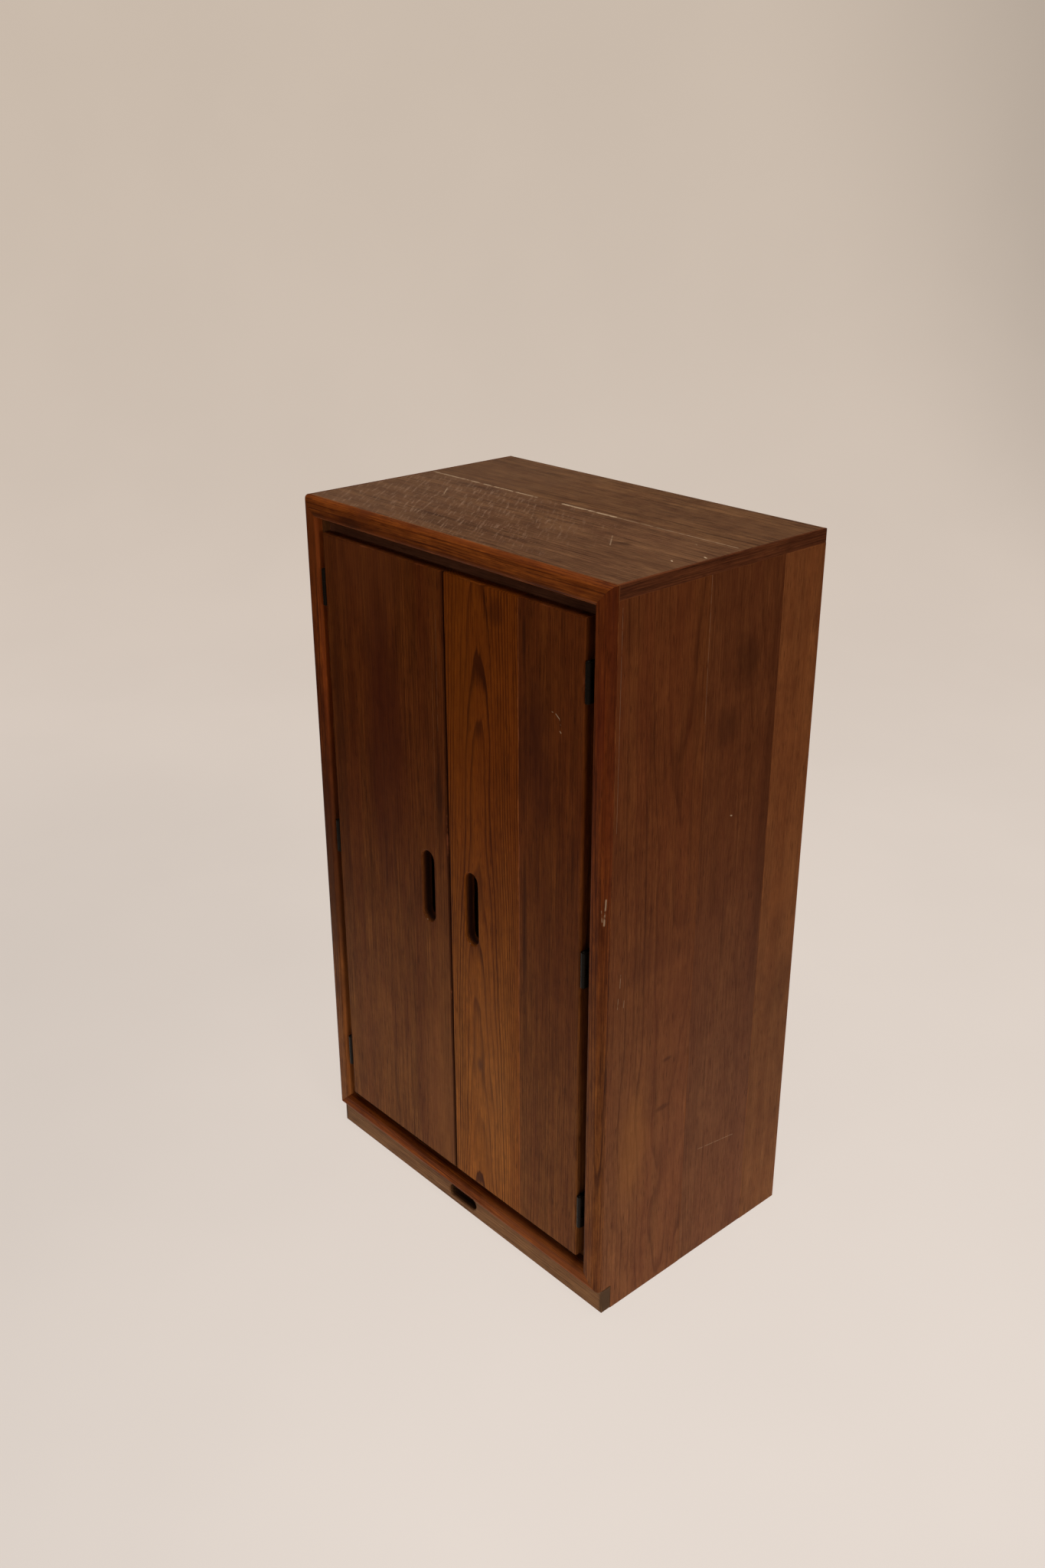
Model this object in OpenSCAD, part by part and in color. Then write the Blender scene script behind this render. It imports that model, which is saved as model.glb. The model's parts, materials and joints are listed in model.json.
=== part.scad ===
// Two-door armoire with a proud picture-frame front, finger-slot pulls and a shallow drawer in its base.
// The origin is on the floor under the middle of the case. The front faces -Y.

/* [Overall] */
// Width over the side panels
width = 711; // [560:1:900]
// Depth from the back of the case to the nose of the front frame
depth = 457; // [375:1:600]
// Height from the floor to the top
height = 1245; // [900:1:1600]

/* [Case boards] */
// Thickness of the side panels
side_t = 21; // [18:1:28]
// Width of the front board of a side panel
side_front_board = 186; // [100:1:220]
// Width of the middle board of a side panel
side_middle_board = 162; // [60:1:190]
// Thickness of the top
top_t = 22; // [16:1:32]
// Width of the front board of the top
top_front_board = 256; // [120:1:320]
// Thickness of the strip that covers each end of the top
lipping_t = 4; // [2:0.5:10]
// Thickness of the bottom panel
bottom_t = 22; // [16:1:30]
// Thickness of the back panel
back_t = 6; // [4:0.5:12]
// Width of the ledge that the back panel lies on in each side panel
rabbet_w = 10; // [8:0.5:12]

/* [Front frame] */
// Face width of the frame moulding
frame_w = 33; // [26:1:50]
// How far the moulding stands in front of the case
frame_t = 15; // [13:0.5:25]
// Radius of the outer edge of the moulding
frame_outer_r = 12.5; // [4:0.5:13]
// Radius of the inner edge of the moulding
frame_inner_r = 8; // [3:0.5:12]

/* [Doors] */
// Thickness of a door
door_t = 20; // [18:1:26]
// How far the front of a door lies behind the nose of the frame
door_setback = 2; // [0:0.5:6]
// Gap between the outer edge of a door and the frame
door_side_gap = 17; // [15:0.5:22]
// Gap above a door
door_top_gap = 21; // [6:0.5:30]
// Gap below a door
door_bottom_gap = 17; // [6:0.5:30]
// Gap between the two doors
door_middle_gap = 3; // [2:0.5:6]
// Radius of the front edges of a door
door_edge_r = 3; // [1:0.5:5]
// Width of the inner board of the right door
door_inner_board = 168; // [100:1:200]

/* [Finger slots] */
// Length of the slot in a door
pull_len = 130; // [80:1:180]
// Width of the slot in a door
pull_w = 31; // [24:1:40]
// Distance from the middle of the case to the middle of a door slot
pull_x = 55; // [40:1:70]
// Height of the middle of a door slot above the floor
pull_z = 642; // [500:1:760]
// Radius worked on the edge of a slot
slot_edge_r = 3; // [1:0.5:5]
// Length of the slot in the drawer front
drawer_slot_len = 74; // [50:1:120]
// Width of the slot in the drawer front
drawer_slot_w = 21; // [16:1:24]

/* [Hinges] */
// Length of the barrel of a hinge
hinge_len = 60; // [40:1:90]
// Radius of the barrel
knuckle_r = 4.5; // [4:0.1:6]
// Radius of the hinge pin
pin_r = 2.5; // [1.5:0.1:3]
// Thickness of a leaf
leaf_t = 1.5; // [1:0.1:2]
// Distance from the top of a door to the middle of its top hinge
hinge_from_top = 92; // [60:1:160]
// Distance from the bottom of a door to the middle of its bottom hinge
hinge_from_bottom = 93; // [60:1:160]

/* [Base drawer] */
// Height of the opening for the drawer in the base
base_h = 47; // [40:1:80]
// Thickness of the drawer front
drawer_front_t = 20; // [16:1:26]
// Space left between the drawer box and the rail across the back of the base
drawer_back_space = 76; // [4:1:100]
// Thickness of the drawer sides and back
drawer_side_t = 14; // [12:1:18]
// Thickness of the drawer bottom
drawer_bottom_t = 6; // [4:0.5:9]
// Height of a runner
runner_h = 12; // [8:1:16]
// How far a runner stands out from the side panel
runner_w = 12; // [10:1:14]

/* [Inside] */
// Thickness of a shelf
shelf_t = 18; // [12:1:25]
// Radius of a shelf pin
shelf_pin_r = 3.1; // [2.4:0.1:4]
// Distance between neighbouring pin holes
pin_pitch = 32; // [24:1:50]
// Thickness of the rails behind the doors
rail_t = 20; // [16:1:26]
// Height of the rail over the doors
header_h = 55; // [50:1:90]
// Height of the rail under the doors
sill_h = 36; // [30:1:60]
// Depth of the stiles that the doors hang on
hanging_depth = 27; // [24:1:40]

/* [Hidden] */

// Case
half_w = width / 2;
y_back = depth / 2;
y_nose = -depth / 2;
y_case = y_nose + frame_t;
inner_x = half_w - side_t;
z_top_under = height - top_t;
z_deck = base_h + frame_w;
z_deck_under = z_deck - bottom_t;
y_back_panel = y_back - back_t;
side_back_joint = side_front_board + side_middle_board;
case_depth = depth - frame_t;
z_base_top_clear = 1;
floor_clear = 1;

// Doors and what they close on
door_x0 = door_middle_gap / 2;
door_x1 = half_w - frame_w - door_side_gap;
door_z0 = z_deck + door_bottom_gap;
door_z1 = height - frame_w - door_top_gap;
y_door = y_nose + door_setback;
y_door_back = y_door + door_t;
door_joint_x = door_x0 + door_inner_board;
stop_gap = 3;
y_rail = y_door_back + stop_gap;

// Hinges
knuckle_clear = 0.5;
knuckle_gap = 0.3;
pin_play = 0.05;
pin_setback = 3;
tip_r = 3.4;
tip_h = 2;
hinge_arm = knuckle_r + knuckle_clear;
hinge_x = door_x1 + hinge_arm;
hinge_y = y_door + pin_setback;
knuckle_len = (hinge_len - 2 * knuckle_gap) / 3;
leaf_start = knuckle_r + knuckle_clear;
leaf_back_margin = 1;
door_leaf_end = y_door_back - hinge_y - leaf_back_margin;
frame_leaf_end = 28;
hinge_screw_dz = hinge_len / 3;
middle_hinge_rise = 1;
hinge_zs = [door_z1 - hinge_from_top, pull_z + middle_hinge_rise, door_z0 + hinge_from_bottom];
hanging_x = hinge_x + hinge_arm;

// Screws
screw_r = 1.5;
screw_head_r = 3;
screw_head_h = 1.5;
screw_len = 14;
screw_play = 0.1;
strike_screw_len = 10;
back_screw_rows = 5;
back_screw_margin = 60;

// Catch over the gap between the doors
catch_half = 28;
catch_depth = 18;
catch_h = 14;
magnet_x0 = 5;
magnet_x1 = 17;
magnet_h = 8;
magnet_depth = 4;
magnet_proud = 1;
strike_t = 1.2;
strike_half_w = 10;
strike_h = 14;
strike_offset = 2;
z_header_under = z_top_under - header_h;
z_catch_mid = z_header_under - catch_h / 2;
strike_x = (magnet_x0 + magnet_x1) / 2 + strike_offset;

// Shelves
shelf_side_clear = 1;
shelf_front_clear = 4;
shelf_back_clear = 2.5;
y_shelf0 = y_rail + rail_t + shelf_front_clear;
y_shelf1 = y_back_panel - shelf_back_clear;
shelf_count = 3;
shelf_clear = (z_top_under - z_deck - shelf_count * shelf_t) / (shelf_count + 1);
pin_in_wall = 10;
pin_out = 9;
pin_hole_extra = 1;
pin_inset = 45;
pin_hole_rows = [-1, 0, 1];
pin_ys = [y_shelf0 + pin_inset, y_shelf1 - pin_inset];

// Drawer
drawer_y0 = y_case + drawer_front_t;
drawer_y1 = y_back - rail_t - drawer_back_space;
drawer_side_clear = 6;
drawer_x1 = inner_x - drawer_side_clear;
drawer_x0 = drawer_x1 - drawer_side_t;
drawer_z0 = 5;
drawer_floor_rise = 3;
drawer_top_clear = 4;
drawer_z1 = base_h - drawer_top_clear;
drawer_floor_z = drawer_z0 + drawer_floor_rise;
z_runner = (drawer_z0 + drawer_z1) / 2;
runner_play = 0.5;
runner_end_clear = 1;
runner_start = 12;
housing = 4;
notch_clear = 0.5;

function shelf_z(level) = z_deck + level * (shelf_clear + shelf_t) - shelf_t;
function pin_z(level, row) = shelf_z(level) - shelf_pin_r + row * pin_pitch;

// ---- Shared shapes ----

// Block between two corners
module block(x0, x1, y0, y1, z0, z1) {
    translate([x0, y0, z0]) cube([x1 - x0, y1 - y0, z1 - z0]);
}

// Draws its children for the right side, or their mirror image for the left
module on_side(side) {
    if (side > 0) children();
    else mirror([1, 0, 0]) children();
}

// What is cut off a square corner at the origin to leave a round of radius r
module corner_waste(r) {
    difference() {
        translate([-1, -1]) square(r + 1);
        translate([r, r]) circle(r, $fn = 48);
    }
}

// Rectangle whose two corners on the low side of Y are round
module soft_front(w, t, r) {
    difference() {
        square([w, t]);
        corner_waste(r);
        translate([w, 0]) mirror([1, 0]) corner_waste(r);
    }
}

// Half section of a slot through a board of thickness t, with its front edge worked to a radius
module slot_section(r, t, edge) {
    translate([0, -t - 1]) square([r, t + 2]);
    difference() {
        translate([0, -edge]) square([r + edge, edge + 1]);
        translate([r + edge, -edge]) circle(edge, $fn = 48);
    }
}

// Slot along X with round ends, cut down from z = 0
module slot(len, w, t, edge) {
    run = len - w;
    for (s = [-1, 1]) {
        translate([s * run / 2, 0, 0]) rotate_extrude($fn = 64) slot_section(w / 2, t, edge);
    }
    rotate([90, 0, 90]) linear_extrude(run, center = true) {
        slot_section(w / 2, t, edge);
        mirror([1, 0]) slot_section(w / 2, t, edge);
    }
}

// Countersunk screw pointing down from its head at z = 0
module screw(len) {
    difference() {
        rotate_extrude($fn = 32) polygon([
            [0, 0], [screw_head_r, 0], [screw_r, -screw_head_h],
            [screw_r, -len + 3], [0.3, -len], [0, -len]
        ]);
        translate([-screw_head_r - 1, -0.4, -0.7]) cube([2 * screw_head_r + 2, 0.8, 2]);
    }
}

// Hole for such a screw: countersink and shank
module screw_hole(len) {
    translate([0, 0, -len - 0.5]) cylinder(r = screw_r + screw_play, h = len + 1, $fn = 32);
    translate([0, 0, -screw_head_h]) {
        cylinder(r1 = screw_r + screw_play, r2 = screw_head_r + screw_play, h = screw_head_h, $fn = 32);
    }
    cylinder(r = screw_head_r + screw_play, h = 1, $fn = 32);
}

// ---- Case ----

// A whole side panel on the right, cut into its boards below
module side_panel() {
    difference() {
        block(inner_x, half_w, y_case, y_back, 0, z_top_under);
        notch_y = drawer_y0 + notch_clear;
        block(inner_x - 1, half_w + 1, y_case - 1, notch_y, -1, base_h);
        block(inner_x - 1, inner_x + rabbet_w, y_back_panel, y_back + 1, z_deck_under, z_top_under + 1);
        for (level = [1 : shelf_count], row = pin_hole_rows, y = pin_ys) {
            translate([inner_x - 1, y, pin_z(level, row)]) rotate([0, 90, 0]) {
                cylinder(r = shelf_pin_r + pin_play, h = pin_in_wall + pin_hole_extra + 1, $fn = 32);
            }
        }
        at_back_screws() screw_hole(screw_len);
    }
}

// The board of a side panel between two distances from the front of the case
module side_board(side, from, to) {
    color("sienna") on_side(side) intersection() {
        side_panel();
        translate([0, y_case, 0]) block(inner_x, half_w, from, to, 0, z_top_under);
    }
}

// The board of the top between two distances from the front of the case
module top_board(from, to) {
    edge = half_w - lipping_t;
    color("saddlebrown") translate([0, y_case, 0]) block(-edge, edge, from, to, z_top_under, height);
}

module top_lipping(side) {
    color("sienna") on_side(side) block(half_w - lipping_t, half_w, y_case, y_back, z_top_under, height);
}

module bottom_panel() {
    color("saddlebrown") block(-inner_x, inner_x, y_case, y_back_panel, z_deck_under, z_deck);
}

// Places its children at the back screws of the right side, pointing into the case
module at_back_screws() {
    reach = z_top_under - z_deck_under - 2 * back_screw_margin;
    for (i = [0 : back_screw_rows - 1]) {
        z = z_deck_under + back_screw_margin + i * reach / (back_screw_rows - 1);
        translate([inner_x + rabbet_w / 2, y_back, z]) rotate([-90, 0, 0]) children();
    }
}

module back_panel() {
    edge = inner_x + rabbet_w - notch_clear;
    color("burlywood") difference() {
        block(-edge, edge, y_back_panel, y_back, z_deck_under, z_top_under);
        for (side = [-1, 1]) on_side(side) at_back_screws() screw_hole(screw_len);
    }
}

module back_screws() {
    color("goldenrod") for (side = [-1, 1]) on_side(side) at_back_screws() screw(screw_len);
}

// ---- Front frame ----

// Moulding along X: outer edge on Y = 0, nose at Z = frame_t, both ends mitred
module frame_member(len) {
    intersection() {
        rotate([90, 0, 90]) linear_extrude(len, center = true) difference() {
            square([frame_w, frame_t]);
            translate([0, frame_t]) mirror([0, 1]) corner_waste(frame_outer_r);
            translate([frame_w, frame_t]) rotate(180) corner_waste(frame_inner_r);
        }
        linear_extrude(frame_t) polygon([
            [-len / 2, 0], [len / 2, 0], [len / 2 - frame_w, frame_w], [-len / 2 + frame_w, frame_w]
        ]);
    }
}

module frame_top_rail() {
    color("peru") translate([0, y_case, height]) rotate([0, 180, 0]) rotate([90, 0, 0]) frame_member(width);
}

module frame_bottom_rail() {
    color("peru") translate([0, y_case, base_h]) rotate([90, 0, 0]) frame_member(width);
}

module frame_stile(side) {
    turn = -90 * side;
    color("sienna") translate([side * half_w, y_case, (base_h + height) / 2]) {
        rotate([0, turn, 0]) rotate([90, 0, 0]) frame_member(height - base_h);
    }
}

// ---- Behind the doors ----

module hanging_stile(side) {
    color("saddlebrown") on_side(side) difference() {
        block(hanging_x, inner_x, y_case, y_case + hanging_depth, z_deck, z_top_under);
        at_frame_screws() screw_hole(screw_len);
    }
}

module header_rail() {
    color("saddlebrown") difference() {
        block(-hanging_x, hanging_x, y_rail, y_rail + rail_t, z_header_under, z_top_under);
        at_catch_screws() screw_hole(screw_len + catch_h);
    }
}

module sill_rail() {
    color("saddlebrown") block(-hanging_x, hanging_x, y_rail, y_rail + rail_t, z_deck, z_deck + sill_h);
}

// Places its children at the two screws of the catch, pointing up through it
module at_catch_screws() {
    for (s = [-1, 1]) {
        x = s * (magnet_x1 + catch_half) / 2;
        translate([x, y_rail + catch_depth / 2, z_header_under - catch_h]) rotate([180, 0, 0]) children();
    }
}

module magnet(side, play) {
    on_side(side) block(
        magnet_x0 - play, magnet_x1 + play,
        y_rail - magnet_proud, y_rail + magnet_depth + play,
        z_catch_mid - magnet_h / 2 - play, z_catch_mid + magnet_h / 2 + play
    );
}

module catch_body() {
    color("dimgray") difference() {
        block(
            -catch_half, catch_half, y_rail, y_rail + catch_depth,
            z_header_under - catch_h, z_header_under
        );
        for (side = [-1, 1]) magnet(side, 0.1);
        at_catch_screws() screw_hole(screw_len + catch_h);
    }
}

module catch_magnets() {
    color("silver") for (side = [-1, 1]) magnet(side, 0);
}

// Places its children where a strike plate's screw enters the right door from behind
module at_strike_screw() {
    translate([strike_x, y_door_back + strike_t, z_catch_mid]) rotate([-90, 0, 0]) children();
}

module strike_plate(side) {
    color("silver") on_side(side) difference() {
        block(
            strike_x - strike_half_w, strike_x + strike_half_w, y_door_back, y_door_back + strike_t,
            z_catch_mid - strike_h / 2, z_catch_mid + strike_h / 2
        );
        at_strike_screw() screw_hole(strike_screw_len);
    }
}

// ---- Shelves ----

module shelf(level) {
    edge = inner_x - shelf_side_clear;
    color("peru") block(-edge, edge, y_shelf0, y_shelf1, shelf_z(level), shelf_z(level) + shelf_t);
}

module shelf_pins() {
    color("goldenrod") for (side = [-1, 1], level = [1 : shelf_count], y = pin_ys) {
        on_side(side) translate([inner_x - pin_out, y, pin_z(level, 0)]) rotate([0, 90, 0]) {
            cylinder(r = shelf_pin_r, h = pin_out + pin_in_wall, $fn = 32);
        }
    }
}

// ---- Doors ----

// The right door as one board, before its slot and holes
module door_blank() {
    intersection() {
        translate([door_x0, y_door, door_z0]) linear_extrude(door_z1 - door_z0) {
            soft_front(door_x1 - door_x0, door_t, door_edge_r);
        }
        translate([door_x1, y_door, door_z0]) rotate([0, -90, 0]) linear_extrude(door_x1 - door_x0) {
            soft_front(door_z1 - door_z0, door_t, door_edge_r);
        }
    }
}

module door_shape() {
    difference() {
        door_blank();
        translate([pull_x, y_door, pull_z]) rotate([0, 90, 0]) rotate([90, 0, 0]) {
            slot(pull_len, pull_w, door_t, slot_edge_r);
        }
        at_door_screws() screw_hole(screw_len);
        at_strike_screw() screw_hole(strike_screw_len);
    }
}

module door_left_panel() {
    color("saddlebrown") mirror([1, 0, 0]) door_shape();
}

module door_right_inner_board() {
    color("peru") intersection() {
        door_shape();
        block(door_x0, door_joint_x, y_door, y_door_back, door_z0, door_z1);
    }
}

module door_right_outer_board() {
    color("sienna") intersection() {
        door_shape();
        block(door_joint_x, door_x1, y_door, y_door_back, door_z0, door_z1);
    }
}

// ---- Hinges: the pin is on the local Z axis, the door lies towards -X and the frame towards +X ----

// Low end of knuckle i, counted from the bottom
function knuckle_z(i) = -hinge_len / 2 + i * (knuckle_len + knuckle_gap);

// Screw places on a leaf, with heads facing the other leaf
module at_leaf_screws(toward, y) {
    for (s = [-1, 1]) {
        translate([toward * (hinge_arm - leaf_t), y, s * hinge_screw_dz]) {
            rotate([0, -90 * toward, 0]) children();
        }
    }
}

// One leaf with the knuckles named in the list; toward is -1 for the door leaf and 1 for the frame leaf
module hinge_leaf(toward, knuckles, leaf_end, screw_y) {
    x0 = toward < 0 ? -hinge_arm : hinge_arm - leaf_t;
    difference() {
        union() {
            block(x0, x0 + leaf_t, leaf_start, leaf_end, -hinge_len / 2, hinge_len / 2);
            for (i = knuckles) {
                block(x0, x0 + leaf_t, 0, leaf_start + 1, knuckle_z(i), knuckle_z(i) + knuckle_len);
                translate([0, 0, knuckle_z(i)]) cylinder(r = knuckle_r, h = knuckle_len, $fn = 48);
            }
        }
        translate([0, 0, -hinge_len]) cylinder(r = pin_r + pin_play, h = 2 * hinge_len, $fn = 48);
        at_leaf_screws(toward, screw_y) screw_hole(screw_len);
    }
}

function door_screw_y() = (leaf_start + door_leaf_end) / 2;
function frame_screw_y() = (y_case - hinge_y + frame_leaf_end) / 2;

// Places its children at hinge i of the right side; hinge 0 is the top one
module at_hinge(i) {
    translate([hinge_x, hinge_y, hinge_zs[i]]) children();
}

module at_door_screws() {
    for (i = [0 : 2]) at_hinge(i) at_leaf_screws(-1, door_screw_y()) children();
}

module at_frame_screws() {
    for (i = [0 : 2]) at_hinge(i) at_leaf_screws(1, frame_screw_y()) children();
}

module frame_leaf(side, i) {
    color("darkslategray") on_side(side) at_hinge(i) hinge_leaf(1, [0, 2], frame_leaf_end, frame_screw_y());
}

module door_leaf(side, i) {
    color("darkslategray") on_side(side) at_hinge(i) hinge_leaf(-1, [1], door_leaf_end, door_screw_y());
}

// Pin with a button tip at each end
module hinge_pin() {
    cylinder(r = pin_r, h = hinge_len, center = true, $fn = 48);
    for (end = [0, 180]) rotate([end, 0, 0]) translate([0, 0, hinge_len / 2]) {
        cylinder(r = tip_r, h = tip_h / 2, $fn = 48);
        translate([0, 0, tip_h / 2]) cylinder(r1 = tip_r, r2 = tip_r / 2, h = tip_h / 2, $fn = 48);
    }
}

module hinge_pins(side) {
    color("dimgray") on_side(side) for (i = [0 : 2]) at_hinge(i) hinge_pin();
}

module case_screws() {
    color("goldenrod") {
        for (side = [-1, 1]) on_side(side) at_frame_screws() screw(screw_len);
        at_catch_screws() screw(screw_len + catch_h);
    }
}

module door_screws(side) {
    color("goldenrod") on_side(side) {
        at_door_screws() screw(screw_len);
        at_strike_screw() screw(strike_screw_len);
    }
}

// ---- Drawer in the base ----

module drawer_front() {
    z1 = base_h - z_base_top_clear;
    color("tan") difference() {
        block(-half_w, half_w, y_case, drawer_y0, floor_clear, z1);
        translate([0, y_case, (floor_clear + z1) / 2]) rotate([90, 0, 0]) {
            slot(drawer_slot_len, drawer_slot_w, drawer_front_t, slot_edge_r);
        }
    }
}

module drawer_side(side) {
    groove = runner_w + runner_end_clear - drawer_side_clear;
    color("burlywood") on_side(side) difference() {
        block(drawer_x0, drawer_x1, drawer_y0, drawer_y1, drawer_z0, drawer_z1);
        block(
            drawer_x1 - groove, drawer_x1 + 1, drawer_y0 + runner_start - runner_end_clear, drawer_y1 + 1,
            z_runner - runner_h / 2 - runner_play, z_runner + runner_h / 2 + runner_play
        );
        block(
            drawer_x0 - 1, drawer_x0 + housing, drawer_y0 - 1, drawer_y1 - drawer_side_t,
            drawer_floor_z, drawer_floor_z + drawer_bottom_t
        );
    }
}

module drawer_back() {
    color("burlywood") block(
        -drawer_x0, drawer_x0, drawer_y1 - drawer_side_t, drawer_y1, drawer_z0, drawer_z1
    );
}

module drawer_bottom() {
    edge = drawer_x0 + housing;
    color("wheat") block(
        -edge, edge, drawer_y0, drawer_y1 - drawer_side_t, drawer_floor_z, drawer_floor_z + drawer_bottom_t
    );
}

module drawer_runner(side) {
    color("burlywood") on_side(side) block(
        inner_x - runner_w, inner_x, drawer_y0 + runner_start, drawer_y1,
        z_runner - runner_h / 2, z_runner + runner_h / 2
    );
}

module base_back_rail() {
    color("saddlebrown") block(-inner_x, inner_x, y_back - rail_t, y_back, 0, z_deck_under);
}

// ---- What is drawn ----

side_board(-1, 0, side_front_board);  // side_left_front_board
side_board(-1, side_front_board, side_back_joint);  // side_left_middle_board
side_board(-1, side_back_joint, case_depth);  // side_left_back_board
side_board(1, 0, side_front_board);  // side_right_front_board
side_board(1, side_front_board, side_back_joint);  // side_right_middle_board
side_board(1, side_back_joint, case_depth);  // side_right_back_board
top_board(0, top_front_board);
top_board(top_front_board, case_depth);  // top_back_board
top_lipping(-1);  // top_lipping_left
top_lipping(1);  // top_lipping_right
bottom_panel();
back_panel();
frame_top_rail();
frame_bottom_rail();
frame_stile(-1);  // frame_left_stile
frame_stile(1);  // frame_right_stile
hanging_stile(-1);  // hanging_stile_left
hanging_stile(1);  // hanging_stile_right
header_rail();
sill_rail();
shelf(3);  // shelf_upper
shelf(2);  // shelf_middle
shelf(1);  // shelf_lower
shelf_pins();
drawer_runner(-1);  // drawer_runner_left
drawer_runner(1);  // drawer_runner_right
base_back_rail();
frame_leaf(-1, 0);  // hinge_left_top_frame_leaf
frame_leaf(-1, 1);  // hinge_left_middle_frame_leaf
frame_leaf(-1, 2);  // hinge_left_bottom_frame_leaf
frame_leaf(1, 0);  // hinge_right_top_frame_leaf
frame_leaf(1, 1);  // hinge_right_middle_frame_leaf
frame_leaf(1, 2);  // hinge_right_bottom_frame_leaf
hinge_pins(-1);  // hinge_pins_left
hinge_pins(1);  // hinge_pins_right
case_screws();
back_screws();
catch_body();
catch_magnets();
door_left_panel();
door_right_inner_board();
door_right_outer_board();
door_leaf(-1, 0);  // hinge_left_top_door_leaf
door_leaf(-1, 1);  // hinge_left_middle_door_leaf
door_leaf(-1, 2);  // hinge_left_bottom_door_leaf
door_leaf(1, 0);  // hinge_right_top_door_leaf
door_leaf(1, 1);  // hinge_right_middle_door_leaf
door_leaf(1, 2);  // hinge_right_bottom_door_leaf
door_screws(-1);  // door_left_screws
door_screws(1);  // door_right_screws
strike_plate(-1);  // strike_plate_left
strike_plate(1);  // strike_plate_right
drawer_front();
drawer_side(-1);  // drawer_side_left
drawer_side(1);  // drawer_side_right
drawer_back();
drawer_bottom();
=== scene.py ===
import json
import math
from collections import namedtuple

import bmesh
import bpy
from mathutils import Matrix, Vector

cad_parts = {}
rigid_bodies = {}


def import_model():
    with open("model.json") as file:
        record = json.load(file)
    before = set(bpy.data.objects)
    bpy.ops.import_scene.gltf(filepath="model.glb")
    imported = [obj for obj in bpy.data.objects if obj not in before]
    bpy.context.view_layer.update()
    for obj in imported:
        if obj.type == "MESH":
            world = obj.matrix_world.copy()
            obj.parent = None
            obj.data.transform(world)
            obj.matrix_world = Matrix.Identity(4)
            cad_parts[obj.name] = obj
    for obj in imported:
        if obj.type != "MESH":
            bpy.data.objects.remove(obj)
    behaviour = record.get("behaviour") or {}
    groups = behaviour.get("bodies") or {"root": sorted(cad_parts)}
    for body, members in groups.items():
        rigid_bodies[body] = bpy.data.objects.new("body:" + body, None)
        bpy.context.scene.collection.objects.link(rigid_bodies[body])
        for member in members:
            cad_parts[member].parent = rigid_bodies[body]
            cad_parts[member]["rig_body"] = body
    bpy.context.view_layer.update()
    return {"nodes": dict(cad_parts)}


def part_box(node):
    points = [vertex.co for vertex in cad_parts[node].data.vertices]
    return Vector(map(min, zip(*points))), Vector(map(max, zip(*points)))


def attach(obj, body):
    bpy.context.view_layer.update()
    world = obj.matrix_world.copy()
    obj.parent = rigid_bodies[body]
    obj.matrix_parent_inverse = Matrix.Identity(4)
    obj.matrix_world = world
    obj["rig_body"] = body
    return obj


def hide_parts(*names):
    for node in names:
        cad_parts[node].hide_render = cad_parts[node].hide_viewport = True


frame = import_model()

NODES = frame["nodes"]
MM = 0.001

# Corners nearer than this are one corner, and a corner nearer a plane than this lies on it
WELD = 0.001 * MM
ON_PLANE = 0.05 * MM

# Folds under FLAT are no edges, and edges sharper than SHARP are eased
FLAT = math.radians(1)
SHARP = math.radians(40)

# Places on the armoire, in metres
Y_SIDE_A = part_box("side_right_front_board")[1].y
Y_SIDE_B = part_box("side_right_middle_board")[1].y
Y_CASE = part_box("side_right_front_board")[0].y
X_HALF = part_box("side_right_front_board")[1].x
Z_TOP_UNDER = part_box("top_front_board")[0].z
Z_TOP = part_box("top_front_board")[1].z
Y_TOP_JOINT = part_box("top_front_board")[1].y
X_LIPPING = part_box("top_lipping_right")[0].x
X_DOOR_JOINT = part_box("door_right_outer_board")[0].x
Y_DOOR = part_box("door_left_panel")[0].y
Y_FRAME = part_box("frame_top_rail")[0].y
Y_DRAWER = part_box("drawer_front")[0].y
X_DOOR_SLOT = 0.055
Z_DOOR_SLOT = 0.642
Z_DRAWER_SLOT = 0.024

# How deep a screw's head goes, and the gap that keeps it and its shank within the CAD's screw
HEAD_DEEP = 1.2 * MM
SCREW_GAP = 0.1 * MM

# How far each kind of arris is eased
EASE_FRAME = 0.3 * MM
EASE_THIN = 0.5 * MM
EASE_BOARD = 0.8 * MM
EASE_DOOR = 0.9 * MM
EASE_SIDE = 1.0 * MM
EASE_TOP = 1.2 * MM
EASE_JOINT = 0.25 * MM

# The heights between which painted floor-bounce light on the front and sides grows towards the foot, and the
# gain of a board that has none
FADE_LOW = 0.25
FADE_HIGH = 0.95
NOT_FADED = (1, 1, 1)

# Light: its colour, the room's strength, watts, and how strongly and how far out the floor glows
WARM_WHITE = (1.0, 0.93, 0.86)
ROOM_LIGHT = 0.06
OVERHEAD_W = 33
RIGHT_W = 20
FRONT_W = 7
POOL_GLOW = 1.0
POOL_INNER = 0.9
POOL_OUTER = 1.9

# Backdrop: how much of its colour is its own glow, and that glow near, at the bend and far off
GLOW_SHARE = 0.82
GLOW_NEAR = (240, 229, 220)
GLOW_BEND = (228, 213, 200)
GLOW_FAR = (217, 201, 185)
PAST_SWEEP = (222, 211, 200)

# A soft spot of another colour, mostly stains but in places painted light and shade, and a thin pale mark
# from start to end, mostly scratched lines but painted glints at the door slots, both in the piece's own
# place
Stain = namedtuple("Stain", "centre size strength colour ragged")
Mark = namedtuple("Mark", "start end width strength")


# ---- Camera, stage and light ---------------------------------------------------------------------

VIEW_TURN = math.radians(47.948)
VIEW_DOWN = math.radians(24.055)
VIEW_ROLL = math.radians(-0.115)
CAMERA_PLACE = Vector((1.6755, -1.5769, 1.8044))
LENS_MM = 34.219


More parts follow.
